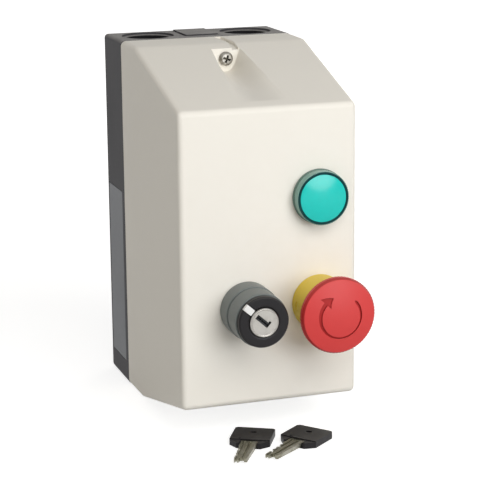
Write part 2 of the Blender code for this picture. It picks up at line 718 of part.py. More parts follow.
def control_places():
    return (
        ("pilot", RIGHT_COLUMN_X, PILOT_Z),
        ("key", KEY_X, LOWER_ROW_Z),
        ("estop", RIGHT_COLUMN_X, LOWER_ROW_Z),
    )


def lug_places():
    """The middles of the contactor's two fixing holes, on opposite corners."""
    x = CONTACTOR_WIDTH / 2 + LUG_REACH - LUG_HOLE_INSET
    return ((-x, CONTACTOR_Z + LUG_RISE), (x, CONTACTOR_Z - LUG_RISE))


def build_contactor_cases(dark, pale):
    half = MAGNET_CASE_HEIGHT / 2
    case = add_mesh("contactor_base", block(
        CONTACTOR_WIDTH, CONTACTOR_BACK, MAGNET_CASE_FRONT, CONTACTOR_Z - half, CONTACTOR_Z + half), dark)
    cut(case, "cavity", block(
        CONTACTOR_WIDTH - 2 * CASE_WALL, CONTACTOR_BACK + CASE_WALL, MAGNET_CASE_FRONT + OVERRUN,
        CONTACTOR_Z - half + CASE_WALL, CONTACTOR_Z + half - CASE_WALL))
    for x, z in lug_places():
        hand = math.copysign(1, x)
        inner = hand * (CONTACTOR_WIDTH / 2 - CASE_WALL / 2)
        outer = hand * (CONTACTOR_WIDTH / 2 + LUG_REACH)
        join(case, f"lug_{hand:+.0f}", block(
            abs(outer - inner), CONTACTOR_BACK, CONTACTOR_BACK + LUG_THICKNESS,
            z - LUG_HEIGHT / 2, z + LUG_HEIGHT / 2, (inner + outer) / 2))
        cut(case, f"lug_hole_{hand:+.0f}", rod(
            FIXING_SHANK_RADIUS + 2 * GAP, CONTACTOR_BACK - OVERRUN, CONTACTOR_BACK + LUG_THICKNESS + OVERRUN,
            x, z, SMALL_STEPS))
    build_arc_case(pale)


def build_arc_case(look):
    half = CONTACTOR_HEIGHT / 2
    housing = add_mesh("contactor_housing", block(
        CONTACTOR_WIDTH, ARC_BACK, ARC_FRONT, CONTACTOR_Z - half, CONTACTOR_Z + half), look)
    inside = CONTACTOR_WIDTH - 2 * ARC_SIDE_WALL
    armature_room = CORE_SPAN / 2 + CASE_WALL / 2
    cut(housing, "armature_room", block(
        inside, ARC_BACK - OVERRUN, CARRIER_FOOT_FRONT + GAP,
        CONTACTOR_Z - armature_room, CONTACTOR_Z + armature_room))
    cut(housing, "chamber", block(
        inside, ARC_BACK - OVERRUN, ARC_FRONT - CHAMBER_FRONT_WALL,
        CONTACTOR_Z - CHAMBER_HALF_HEIGHT, CONTACTOR_Z + CHAMBER_HALF_HEIGHT))
    cut(housing, "window", block(
        COLUMN_WIDTH + 2 * GAP, ARC_FRONT - CHAMBER_FRONT_WALL - OVERRUN, ARC_FRONT + OVERRUN,
        CONTACTOR_Z - COLUMN_HEIGHT / 2 - GAP, CONTACTOR_Z + COLUMN_HEIGHT / 2 + GAP))
    for pole, x in enumerate(POLES, 1):
        for side, end in ((1, "line"), (-1, "load")):
            near = CONTACTOR_Z + side * POCKET_INNER
            far = CONTACTOR_Z + side * (half + OVERRUN)
            inner = CONTACTOR_Z + side * (CHAMBER_HALF_HEIGHT - OVERRUN)
            width = TERMINAL_WIDTH + 2 * GAP
            cut(housing, f"pocket_{end}_{pole}", block(
                width, TERMINAL_BACK - GAP, ARC_FRONT + OVERRUN, min(near, far), max(near, far), x))
            reach = near + side * OVERRUN
            cut(housing, f"slot_{end}_{pole}", block(
                width, TERMINAL_BACK - GAP, TERMINAL_FRONT + GAP, min(inner, reach), max(inner, reach), x))


def build_magnet(steel, copper, spring_steel):
    half = CORE_SPAN / 2
    leg = half - CORE_OUTER_LEG
    centre = CORE_CENTRE_LEG / 2
    shape = (
        (CORE_BACK, -half), (CORE_LEG_FRONT, -half), (CORE_LEG_FRONT, -leg), (CORE_YOKE_FRONT, -leg),
        (CORE_YOKE_FRONT, -centre), (CORE_LEG_FRONT, -centre), (CORE_LEG_FRONT, centre),
        (CORE_YOKE_FRONT, centre), (CORE_YOKE_FRONT, leg), (CORE_LEG_FRONT, leg), (CORE_LEG_FRONT, half),
        (CORE_BACK, half),
    )
    outline = [(depth, CONTACTOR_Z + z) for depth, z in shape]
    add_mesh("fixed_core", prism(outline, CORE_THICKNESS / 2), steel)
    coil_back = CORE_YOKE_FRONT + GAP
    coil_front = coil_back + COIL_LENGTH
    add_mesh("coil", frame_ring(
        (COIL_WIDTH / 2, leg - COIL_MARGIN), (CORE_THICKNESS / 2 + GAP, centre + GAP),
        coil_back, coil_front, CONTACTOR_Z), copper)
    coil_spring(
        "return_spring", RETURN_SPRING_RADIUS, RETURN_SPRING_WIRE, RETURN_SPRING_TURNS,
        coil_front, ARMATURE_BACK, 0, CONTACTOR_Z, spring_steel)
    middle = (0, -ARMATURE_BACK, CONTACTOR_Z)
    armature_front = ARMATURE_BACK + ARMATURE_THICKNESS
    add_mesh("armature", block(
        CORE_THICKNESS, ARMATURE_BACK, armature_front, CONTACTOR_Z - half, CONTACTOR_Z + half), steel, middle)


def build_contacts(plastic, copper, brass):
    middle = (0, -ARMATURE_BACK, CONTACTOR_Z)
    foot = CARRIER_FOOT_HEIGHT / 2
    carrier = add_mesh("contact_carrier", block(
        CARRIER_FOOT_WIDTH, CARRIER_BACK, CARRIER_FOOT_FRONT, CONTACTOR_Z - foot, CONTACTOR_Z + foot),
        plastic, middle)
    join(carrier, "column", block(
        COLUMN_WIDTH, CARRIER_FOOT_FRONT - OVERRUN, ARC_FRONT + COLUMN_PROUD,
        CONTACTOR_Z - COLUMN_HEIGHT / 2, CONTACTOR_Z + COLUMN_HEIGHT / 2))
    beam_half = POLES[-1] + BEAM_END
    join(carrier, "beam", block(
        2 * beam_half, BEAM_BACK, BEAM_BACK + BEAM_DEPTH,
        CONTACTOR_Z - BEAM_HEIGHT / 2, CONTACTOR_Z + BEAM_HEIGHT / 2))
    slot_half = max(COLUMN_HEIGHT, BEAM_HEIGHT) / 2 + OVERRUN
    half = BRIDGE_LENGTH / 2
    tip = half - CONTACT_TIP_LENGTH
    bridge_front = BRIDGE_BACK + BRIDGE_THICKNESS
    bridge = (
        (bridge_front, -half), (CONTACT_TIP_BACK, -half), (CONTACT_TIP_BACK, -tip), (BRIDGE_BACK, -tip),
        (BRIDGE_BACK, tip), (CONTACT_TIP_BACK, tip), (CONTACT_TIP_BACK, half), (bridge_front, half),
    )
    outer = CONTACTOR_HEIGHT / 2 - TERMINAL_END_GAP
    for pole, x in enumerate(POLES, 1):
        cut(carrier, f"slot_{pole}", block(
            BRIDGE_WIDTH + 2 * GAP, BRIDGE_BACK - GAP, bridge_front + GAP,
            CONTACTOR_Z - slot_half, CONTACTOR_Z + slot_half, x))
        outline = [(depth, CONTACTOR_Z + z) for depth, z in bridge]
        add_mesh(f"moving_contact_{pole}", prism(outline, BRIDGE_WIDTH / 2, x), copper, middle)
        for side, end in ((1, "line"), (-1, "load")):
            near = CONTACTOR_Z + side * TERMINAL_INNER
            far = CONTACTOR_Z + side * outer
            add_mesh(f"{end}_terminal_{pole}", block(
                TERMINAL_WIDTH, TERMINAL_BACK, TERMINAL_FRONT, min(near, far), max(near, far), x), brass)


def build_contactor_fixings(look):
    seat = CONTACTOR_BACK + LUG_THICKNESS + GAP
    face = seat + FIXING_HEAD_HEIGHT
    tip = BASE_WALL + FIXING_PAD - FIXING_DEPTH + GAP
    for index, (x, z) in enumerate(lug_places(), 1):
        profile = (
            (0, face), (FIXING_HEAD_RADIUS, face), (FIXING_HEAD_RADIUS, seat), (FIXING_SHANK_RADIUS, seat),
            (FIXING_SHANK_RADIUS, tip), (0, tip),
        )
        smooth(add_mesh(f"contactor_fixing_{index}", turned(profile, x, z, SMALL_STEPS), look))


def build_overload_relay(looks):
    relay = add_mesh("overload_housing", block(
        RELAY_WIDTH, CONTACTOR_BACK, RELAY_FRONT, RELAY_BOTTOM, RELAY_TOP), looks["dark"])
    bimetal_top = RELAY_TOP - LINK_SEAT - GAP
    bimetal_bottom = bimetal_top - BIMETAL_LENGTH
    pocket_width = TERMINAL_WIDTH + 2 * GAP
    link_top = CONTACTOR_Z - CONTACTOR_HEIGHT / 2 + LINK_REACH
    for pole, x in enumerate(POLES, 1):
        cut(relay, f"link_slot_{pole}", block(
            LINK_WIDTH + 2 * GAP, LINK_BACK - GAP, LINK_BACK + LINK_THICKNESS + GAP,
            bimetal_bottom - GAP, RELAY_TOP + OVERRUN, x))
        cut(relay, f"motor_pocket_{pole}", block(
            pocket_width, RELAY_FRONT - MOTOR_POCKET_DEPTH, RELAY_FRONT + OVERRUN,
            RELAY_BOTTOM - OVERRUN, RELAY_BOTTOM + MOTOR_POCKET_HEIGHT, x))
        add_mesh(f"link_pin_{pole}", block(
            LINK_WIDTH, LINK_BACK, LINK_BACK + LINK_THICKNESS, RELAY_TOP - LINK_SEAT, link_top, x),
            looks["copper"])
        add_mesh(f"bimetal_{pole}", block(
            BIMETAL_WIDTH, LINK_BACK, LINK_BACK + BIMETAL_THICKNESS, bimetal_bottom, bimetal_top, x),
            looks["steel"])
    build_relay_dial(relay, looks["white"])
    for name, drop, look in (
        ("reset_button", RESET_DROP, looks["blue"]), ("stop_button", STOP_DROP, looks["red"])
    ):
        z = RELAY_TOP - drop
        back = RELAY_FRONT + RELAY_BUTTON_PROUD - RELAY_BUTTON_LENGTH
        cut(relay, f"{name}_bore", rod(
            RELAY_BUTTON_RADIUS + GAP, back - RELAY_BUTTON_TRAVEL - GAP, RELAY_FRONT + OVERRUN,
            RELAY_BUTTON_X, z, SMALL_STEPS))
        bm = rod(RELAY_BUTTON_RADIUS, back, back + RELAY_BUTTON_LENGTH, RELAY_BUTTON_X, z, SMALL_STEPS)
        smooth(add_mesh(name, bm, look, (RELAY_BUTTON_X, -RELAY_FRONT, z)))


def build_relay_dial(relay, look):
    z = RELAY_TOP - DIAL_DROP
    face = RELAY_FRONT + DIAL_PROUD
    back = RELAY_FRONT - DIAL_SEAT
    cut(relay, "dial_bore", rod(DIAL_RADIUS + GAP, back - GAP, RELAY_FRONT + OVERRUN, DIAL_X, z))
    bm = rod(DIAL_RADIUS, back, face, DIAL_X, z)
    dial = smooth(add_mesh("current_dial", bm, look, (DIAL_X, -RELAY_FRONT, z)))
    cut(dial, "driver_slot", block(
        DIAL_SLOT_LENGTH, face - DIAL_SLOT_DEPTH, face + OVERRUN,
        z - DIAL_SLOT_WIDTH / 2, z + DIAL_SLOT_WIDTH / 2, DIAL_X))


def build_fixing_collar(name, x, z, look):
    half = FIXING_COLLAR_HEIGHT / 2
    collar = add_mesh(f"{name}_collar", block(
        FIXING_COLLAR_WIDTH, COLLAR_BACK, COLLAR_FRONT, z - half, z + half, x), look)
    cut(collar, "bore", rod(BARREL_RADIUS + GAP, COLLAR_BACK - OVERRUN, COLLAR_FRONT + OVERRUN, x, z))


def build_contact_block(name, x, z, travel, plastic, plunger_look):
    half = BLOCK_HEIGHT / 2
    body = add_mesh(f"{name}_contact_block", block(
        BLOCK_WIDTH, BLOCK_BACK, BLOCK_FRONT, z - half, z + half, x), plastic)
    back = PLUNGER_FRONT - PLUNGER_LENGTH
    deepest = max(BLOCK_BACK + BLOCK_FLOOR, back - travel - GAP)
    cut(body, "plunger_bore", rod(PLUNGER_RADIUS + GAP, deepest, BLOCK_FRONT + OVERRUN, x, z, SMALL_STEPS))
    bm = rod(PLUNGER_RADIUS, back, PLUNGER_FRONT, x, z, SMALL_STEPS)
    smooth(add_mesh(f"{name}_contact_plunger", bm, plunger_look, (x, -PLUNGER_FRONT, z)))


def build_pilot_light(x, z, looks):
    rim = CONTROL_SEAT + PILOT_BEZEL_HEIGHT
    barrel = (
        (PILOT_BEZEL_RADIUS, rim), (PILOT_BEZEL_RADIUS, CONTROL_SEAT), (BARREL_RADIUS, CONTROL_SEAT),
        (BARREL_RADIUS, BARREL_BACK), (PILOT_BORE_RADIUS, BARREL_BACK), (PILOT_BORE_RADIUS, rim),
    )
    smooth(add_mesh("pilot_bezel", turned(barrel, x, z, closed=True), looks["bezel"]))
    seat = rim + GAP
    side = seat + PILOT_LENS_SIDE
    dome = [(PILOT_LENS_RADIUS * share, side + PILOT_LENS_DOME * (1 - share ** 2)) for share in DOME_SHARES]
    plug = PILOT_BORE_RADIUS - GAP
    lens = dome + [
        (PILOT_LENS_RADIUS, seat), (plug, seat), (plug, seat - PILOT_LENS_PLUG), (0, seat - PILOT_LENS_PLUG),
    ]
    smooth(add_mesh("pilot_lens", turned(lens, x, z), looks["lens"]))
    build_fixing_collar("pilot", x, z, looks["dark"])
    half = LAMP_HEIGHT / 2
    lamp = add_mesh("pilot_lamp", block(
        FIXING_COLLAR_WIDTH, BLOCK_FRONT - LAMP_DEPTH, BLOCK_FRONT, z - half, z + half, x), looks["dark"])
    join(lamp, "nose", rod(
        LAMP_NOSE_RADIUS, BLOCK_FRONT - OVERRUN, BLOCK_FRONT + LAMP_NOSE_LENGTH, x, z, SMALL_STEPS))


def radial_block(width, inner, outer, back, front, x, z, angle, aside=0.0):
    """A box along a radius or aside of it, at an angle clockwise from straight up as seen from the front."""
    bm = block(width, back, front, inner, outer, aside)
    for vert in bm.verts:
        side, y, along = vert.co
        vert.co = (
            x + side * math.cos(angle) + along * math.sin(angle), y,
            z - side * math.sin(angle) + along * math.cos(angle),
        )
    return bm


def build_key_switch(x, z, looks):
    front = CONTROL_SEAT + KEY_BEZEL_HEIGHT
    groove = CONTROL_SEAT + KEY_GROOVE_START
    bezel = (
        (KEY_STEP_RADIUS, front), (KEY_STEP_RADIUS, groove + KEY_GROOVE_WIDTH),
        (KEY_GROOVE_RADIUS, groove + KEY_GROOVE_WIDTH), (KEY_GROOVE_RADIUS, groove),
        (KEY_BEZEL_RADIUS, groove),
        (KEY_BEZEL_RADIUS, CONTROL_SEAT), (BARREL_RADIUS, CONTROL_SEAT), (BARREL_RADIUS, BARREL_BACK),
        (KEY_BORE_RADIUS, BARREL_BACK), (KEY_BORE_RADIUS, front),
    )
    smooth(add_mesh("key_bezel", turned(bezel, x, z, closed=True), looks["bezel"]))
    back = front + GAP
    face = back + KEY_ROTOR_HEIGHT
    pivot = (x, -face, z)
    profile = (
        (0, face), (KEY_ROTOR_RADIUS, face), (KEY_ROTOR_RADIUS, back), (KEY_SHAFT_RADIUS, back),
        (KEY_SHAFT_RADIUS, SHAFT_BACK), (0, SHAFT_BACK),
    )
    rotor = smooth(add_mesh("key_rotor", turned(profile, x, z), looks["black"], pivot))
    cut(rotor, "lock_bore", rod(LOCK_RADIUS + GAP, face - LOCK_DEPTH - GAP, face + OVERRUN, x, z))
    inner = LOCK_RADIUS + KEY_POINTER_CLEARANCE
    cut(rotor, "pointer_slot", radial_block(
        KEY_POINTER_WIDTH + 2 * GAP, LOCK_RADIUS, KEY_ROTOR_RADIUS + OVERRUN,
        face - KEY_POINTER_DEPTH - GAP, face + OVERRUN, x, z, KEY_POINTER_ANGLE))
    pointer = radial_block(
        KEY_POINTER_WIDTH, inner, KEY_ROTOR_RADIUS, face - KEY_POINTER_DEPTH, face, x, z, KEY_POINTER_ANGLE)
    add_mesh("key_pointer", pointer, looks["white"], pivot)
    lock_face = face + LOCK_PROUD
    barrel = (
        (0, lock_face), (LOCK_RADIUS - LOCK_BEVEL, lock_face), (LOCK_RADIUS, lock_face - LOCK_BEVEL),
        (LOCK_RADIUS, face - LOCK_DEPTH), (0, face - LOCK_DEPTH),
    )
    lock = smooth(add_mesh("lock_cylinder", turned(barrel, x, z), looks["chrome"], pivot))
    floor = face - KEYWAY_DEPTH
    cut(lock, "keyway", radial_block(
        KEYWAY_WIDTH, -KEYWAY_INNER, KEYWAY_OUTER, floor, lock_face + OVERRUN, x, z, KEY_POINTER_ANGLE))
    reach = KEYWAY_WIDTH / 2 + KEYWAY_NOTCH
    cut(lock, "keyway_notch", radial_block(
        reach, -KEYWAY_INNER, -KEYWAY_INNER + KEYWAY_NOTCH, floor, lock_face + OVERRUN, x, z,
        KEY_POINTER_ANGLE, reach / 2))
    build_fixing_collar("key", x, z, looks["dark"])
    build_contact_block("key", x, z, KEY_TRAVEL, looks["dark"], looks["white"])


def build_emergency_stop(x, z, looks):
    front = CONTROL_SEAT + ESTOP_BEZEL_HEIGHT
    shoulder = BARREL_BACK + ESTOP_SHOULDER
    neck_bore = ESTOP_STEM_NECK_RADIUS + GAP
    bezel = (
        (ESTOP_BEZEL_RADIUS - ESTOP_BEZEL_CHAMFER, front), (ESTOP_BEZEL_RADIUS, front - ESTOP_BEZEL_CHAMFER),
        (ESTOP_BEZEL_RADIUS, CONTROL_SEAT), (BARREL_RADIUS, CONTROL_SEAT), (BARREL_RADIUS, BARREL_BACK),
        (neck_bore, BARREL_BACK), (neck_bore, shoulder), (ESTOP_BORE_RADIUS, shoulder),
        (ESTOP_BORE_RADIUS, front),
    )
    smooth(add_mesh("estop_bezel", turned(bezel, x, z, closed=True), looks["yellow"]))
    skirt = front + ESTOP_HEAD_LIFT
    rim_back = skirt + ESTOP_SKIRT_HEIGHT
    rim_front = rim_back + ESTOP_RIM_HEIGHT
    recess_radius = ESTOP_BEZEL_RADIUS + 2 * GAP
    recess = skirt + max(ESTOP_TRAVEL - ESTOP_HEAD_LIFT, 0) + ESTOP_HEAD_CLEARANCE
    socket = recess + ESTOP_SOCKET_DEPTH
    pivot = (x, -rim_front - ESTOP_DOME, z)
    dome = [(ESTOP_HEAD_RADIUS * share, rim_front + ESTOP_DOME * (1 - share ** 2)) for share in DOME_SHARES]
    head = dome + [
        (ESTOP_HEAD_RADIUS, rim_back), (ESTOP_SKIRT_RADIUS, skirt),
        (recess_radius, skirt), (recess_radius, recess),
        (ESTOP_BORE_RADIUS, recess), (ESTOP_BORE_RADIUS, socket), (0, socket),
    ]
    smooth(add_mesh("estop_head", turned(head, x, z, ROUND_STEPS + SMALL_STEPS), looks["red"], pivot))
    stem_front = socket - GAP
    spring_front = shoulder + ESTOP_SPRING_LENGTH
    stem = (
        (0, stem_front), (ESTOP_STEM_RADIUS, stem_front), (ESTOP_STEM_RADIUS, spring_front),
        (ESTOP_STEM_NECK_RADIUS, spring_front), (ESTOP_STEM_NECK_RADIUS, SHAFT_BACK), (0, SHAFT_BACK),
    )
    smooth(add_mesh("estop_stem", turned(stem, x, z), looks["black"], pivot))
    spring_radius = (neck_bore + ESTOP_BORE_RADIUS) / 2
    coil_spring(
        "estop_spring", spring_radius, ESTOP_SPRING_WIRE, ESTOP_SPRING_TURNS, shoulder, spring_front, x, z,
        looks["spring"])
    build_fixing_collar("estop", x, z, looks["dark"])
    build_contact_block("estop", x, z, ESTOP_TRAVEL, looks["dark"], looks["red"])


def outline_plate(outline, low, high):
    """A flat plate of an (x, y) outline between two heights."""
    bm = bmesh.new()
    face = bm.faces.new([bm.verts.new((x, y, low)) for x, y in outline])
    rise = bmesh.ops.extrude_face_region(bm, geom=[face])["geom"]
    raised = [item for item in rise if isinstance(item, bmesh.types.BMVert)]
    bmesh.ops.translate(bm, verts=raised, vec=(0, 0, high - low))
    bmesh.ops.recalc_face_normals(bm, faces=bm.faces)
    return bm


def bow_outline():
    """The key's grip: square at the back corners, cut off at the corners beside the blade."""
    half = BOW_WIDTH / 2
    front = -BOW_LENGTH / 2
    back = BOW_LENGTH / 2
    return (
        (-half + BOW_FRONT_CORNER, front), (half - BOW_FRONT_CORNER, front),
        (half, front + BOW_FRONT_CORNER), (half, back - BOW_BACK_CORNER),
        (half - BOW_BACK_CORNER, back), (-half + BOW_BACK_CORNER, back),
        (-half, back - BOW_BACK_CORNER), (-half, front + BOW_FRONT_CORNER),
    )


def blade_outline():
    """The blade along -Y, tapered, with shallow cuts on one edge and a forked tip of uneven prongs."""
    root = -BOW_LENGTH / 2
    tip = root - BLADE_LENGTH

    def half(along):
        return (BLADE_WIDTH - (BLADE_WIDTH - BLADE_TIP_WIDTH) * max(root - along, 0) / BLADE_LENGTH) / 2

    outline = [(half(root), root + BLADE_TANG), (-half(root), root + BLADE_TANG), (-half(root), root)]
    pitch = BLADE_LENGTH / (2 * BLADE_NOTCH_COUNT + 1)
    for notch in range(BLADE_NOTCH_COUNT):
        start = root - pitch * (2 * notch + 1)
        middle = start - pitch / 2
        end = start - pitch
        outline += [(-half(start), start), (-half(middle) + BLADE_NOTCH, middle), (-half(end), end)]
    fork = tip + BLADE_FORK_DEPTH
    short = tip + BLADE_SHORT_PRONG
    slot = BLADE_FORK_WIDTH / 2
    return outline + [
        (-half(tip), tip), (-slot, tip), (-slot, fork + BLADE_SHORT_PRONG), (slot, fork + BLADE_SHORT_PRONG),
        (slot, short), (half(short), short), (half(root), root),
    ]


def build_loose_keys(black, steel):
    low = (BOW_THICKNESS - BLADE_THICKNESS) / 2
    high = low + BLADE_THICKNESS
    for index, (x, depth, turn) in enumerate(KEY_PLACES, 1):
        bm = outline_plate(bow_outline(), 0, BOW_THICKNESS)
        bevel_edges(bm, [edge for edge in bm.edges if on_top(edge)], BOW_EDGE_CHAMFER, CHAMFER_SEGMENTS)
        bow = add_mesh(f"key_{index}_bow", bm, black)
        blade = add_mesh(f"key_{index}_blade", outline_plate(blade_outline(), low, high), steel)
        for piece in (bow, blade):
            piece.location = (x, -depth, BOTTOM)
            piece.rotation_euler = (0, 0, turn)
        half = BLADE_WIDTH / 2 + GAP
        front = -BOW_LENGTH / 2 - OVERRUN
        back = -BOW_LENGTH / 2 + BLADE_TANG + GAP
        corners = ((-half, front), (half, front), (half, back), (-half, back))
        cut(bow, "slot", outline_plate(corners, low - GAP, high + GAP))
        bow.modifiers[0].object.parent = bow


def on_top(edge):
    return all(abs(vert.co.z - BOW_THICKNESS) < WELD for vert in edge.verts)


def build_wires(blue, grey):
    side = CONTACTOR_WIDTH / 2 + GAP
    swing = side + 2 * WIRE_LEAD_OUT - WIRE_RADIUS
    case_depth = (CONTACTOR_BACK + MAGNET_CASE_FRONT) / 2
    relay_depth = (CONTACTOR_BACK + RELAY_FRONT) / 2
    high = CONTACTOR_Z - MAGNET_CASE_HEIGHT / 4
    low = (RELAY_TOP + RELAY_BOTTOM) / 2
    coil_lead = [
        Vector((-side, -case_depth, high)), Vector((-side - WIRE_LEAD_OUT, -case_depth, high)),
        Vector((-swing, -(case_depth + relay_depth) / 2, (high + low) / 2)),
        Vector((-side - WIRE_LEAD_OUT, -relay_depth, low)), Vector((-side, -relay_depth, low)),
    ]
    wire_tube("coil_lead", smooth_route(coil_lead), WIRE_RADIUS, WIRE_ROUND_STEPS, blue)
    wire_depth = BLOCK_BACK + BLOCK_DEPTH / 3
    height = LOWER_ROW_Z - BLOCK_HEIGHT / 3
    left = KEY_X + BLOCK_WIDTH / 2 + GAP
    right = RIGHT_COLUMN_X - BLOCK_WIDTH / 2 - GAP
    jumper = [
        Vector((left, -wire_depth, height)), Vector((left + WIRE_LEAD_OUT, -wire_depth, height)),
        Vector(((left + right) / 2, -wire_depth, height - WIRE_LEAD_OUT)),
        Vector((right - WIRE_LEAD_OUT, -wire_depth, height)), Vector((right, -wire_depth, height)),
    ]
    wire_tube("control_jumper", smooth_route(jumper), WIRE_RADIUS, WIRE_ROUND_STEPS, grey)
    lamp_bottom = PILOT_Z - LAMP_HEIGHT / 2 - GAP
    block_top = LOWER_ROW_Z + BLOCK_HEIGHT / 2 + GAP
    lead_depth = BLOCK_FRONT - LAMP_DEPTH / 2
    lead = [
        Vector((RIGHT_COLUMN_X, -lead_depth, lamp_bottom)),
        Vector((RIGHT_COLUMN_X, -lead_depth, lamp_bottom - WIRE_LEAD_OUT)),
        Vector((RIGHT_COLUMN_X + WIRE_LEAD_OUT / 2, -lead_depth, (lamp_bottom + block_top) / 2)),
        Vector((RIGHT_COLUMN_X, -lead_depth, block_top + WIRE_LEAD_OUT)),
        Vector((RIGHT_COLUMN_X, -lead_depth, block_top)),
    ]
    wire_tube("pilot_lead", smooth_route(lead), WIRE_RADIUS, WIRE_ROUND_STEPS, grey)


def build_starter():
    clear_scene()
    graphite = finish("graphite_plastic", 82, 81, 85, 0.5)
    cream = finish("cream_plastic", 228, 224, 214, 0.42)
    label_grey = finish("label_grey", 104, 106, 112, 0.55)
    dark = finish("dark_plastic", 52, 53, 56, 0.5)
    pale = finish("pale_plastic", 176, 178, 176, 0.45)
    black = finish("black_plastic", 42, 41, 43, 0.45)
    white = finish("white_plastic", 236, 236, 232, 0.4)
    grey = finish("collar_grey", 100, 106, 104, 0.45)
    red = finish("red_plastic", 206, 62, 60, 0.38)
    yellow = finish("yellow_plastic", 206, 184, 62, 0.42)
    blue = finish("blue_plastic", 48, 92, 168, 0.42)
    green = finish("green_lens", 38, 198, 188, 0.15)
    dark_green = finish("dark_green_ring", 28, 78, 76, 0.3)
    rubber = finish("black_rubber", 34, 34, 36, 0.75)
    steel = finish("zinc_steel", 176, 176, 172, 0.32, 1.0)
    chrome = finish("lock_chrome", 214, 212, 210, 0.18, 1.0)
    copper = finish("copper", 186, 110, 78, 0.35, 1.0)
    brass = finish("brass", 196, 166, 92, 0.35, 1.0)

    build_rear_housing(graphite)
    build_housing_trim(rubber, label_grey)
    build_front_cover(cream)
    build_cover_screws(steel)
    build_contactor_cases(dark, pale)
    build_magnet(steel, copper, steel)
    build_contacts(black, copper, brass)
    build_contactor_fixings(steel)
    build_overload_relay({
        "dark": dark, "copper": copper, "steel": steel, "white": white, "blue": blue, "red": red,
    })
    build_pilot_light(RIGHT_COLUMN_X, PILOT_Z, {"bezel": dark_green, "lens": green, "dark": dark})
    build_key_switch(KEY_X, LOWER_ROW_Z, {
        "bezel": grey, "black": black, "white": white, "chrome": chrome, "dark": dark,
    })
    build_emergency_stop(RIGHT_COLUMN_X, LOWER_ROW_Z, {
        "yellow": yellow, "red": red, "black": black, "dark": dark, "spring": steel,
    })
    build_loose_keys(black, steel)
    build_wires(blue, grey)


build_starter()
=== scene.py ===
"""Looks of an enclosed magnetic motor starter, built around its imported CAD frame.

Metres, in the frame's own axes: X to the right, Z up, front towards -Y.
A depth is a distance in front of the rear face, so a point at depth d has y = -d.
"""
import math
from functools import partial

import bmesh
import bpy
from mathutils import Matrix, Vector


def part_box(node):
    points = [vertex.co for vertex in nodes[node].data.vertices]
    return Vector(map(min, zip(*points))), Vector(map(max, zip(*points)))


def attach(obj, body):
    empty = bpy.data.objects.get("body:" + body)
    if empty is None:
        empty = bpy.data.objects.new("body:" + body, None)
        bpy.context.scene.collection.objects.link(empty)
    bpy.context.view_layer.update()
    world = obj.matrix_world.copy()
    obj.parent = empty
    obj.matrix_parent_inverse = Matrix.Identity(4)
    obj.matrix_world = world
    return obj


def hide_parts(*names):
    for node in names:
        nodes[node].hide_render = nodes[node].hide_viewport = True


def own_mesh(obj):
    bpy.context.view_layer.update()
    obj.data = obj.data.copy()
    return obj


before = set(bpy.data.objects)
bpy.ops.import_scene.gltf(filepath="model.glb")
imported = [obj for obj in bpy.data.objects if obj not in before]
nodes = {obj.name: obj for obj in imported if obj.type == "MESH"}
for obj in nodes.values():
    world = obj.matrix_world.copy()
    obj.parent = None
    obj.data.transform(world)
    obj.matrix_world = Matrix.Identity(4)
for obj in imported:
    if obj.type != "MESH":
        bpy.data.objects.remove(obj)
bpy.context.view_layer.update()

# Fits, facets and edge rounds
GAP = 0.0003
SLIP = 0.0001
OVERRUN = 0.001
WELD = 0.000001
CLOSE_UP = 0.000002
FULL_ROUND = 96
SMALL_ROUND = 40
ROUND_ARC = 4
FLAT_FACING = 0.99999
FLAT_AREA = 0.0001
SMOOTH_ANGLE = math.radians(32)
ROUNDED_ANGLE = math.radians(40)
HAIR_EDGE = 0.0001
FINE_EDGE = 0.0002
SOFT_EDGE = 0.0003
EASED_EDGE = 0.0004
ROUND_EDGE = 0.0005
FULL_EDGE = 0.0006

# Cover, as far as the frame's boxes don't give it
COVER_WALL = 0.003
STRIP_DEPTH = 0.0255
FRONT_TAPER = 0.0015
TOP_SLOPE_DROP = 0.024
BOTTOM_SLOPE_RISE = 0.017
COVER_EDGE_RADIUS = 0.0028
COVER_EDGE_STEPS = 6
SEAT_RADIUS = 0.0070
SEAT_HALF_WIDTH = 0.0080
TROUGH_FRONT_HALF_WIDTH = 0.0142
TROUGH_FADE = 0.0055
TROUGH_RUN_OUT = 0.0004
TROUGH_SEAT_CURVE = 2.6
TROUGH_FRONT_CURVE = 2.0
TROUGH_FLARE = 0.48
TROUGH_FLARE_SHARE = 0.35
TROUGH_FLARE_PACE = 1.4
TROUGH_STATIONS = 20
TROUGH_ACROSS = 28
SEAL_GROOVE_X = 0.0056
SEAL_GROOVE_WIDTH = 0.0037
SEAL_GROOVE_LENGTH = 0.031
SEAL_GROOVE_RAMP = 0.0077
SEAL_GROOVE_BACK_SINK = 0.0010
SEAL_GROOVE_MIDDLE_SINK = 0.0019
SEAL_GROOVE_SEAT_SINK = 0.0036
BOSS_RADIUS = 0.0055
COVER_SCREW_HEAD = 0.0026
COVER_SCREW_SHANK = 0.00172
COVER_SCREW_HOLE = 0.00205
PANEL_HOLE_RADIUS = 0.01125
PANEL_NECK_RADIUS = 0.0109

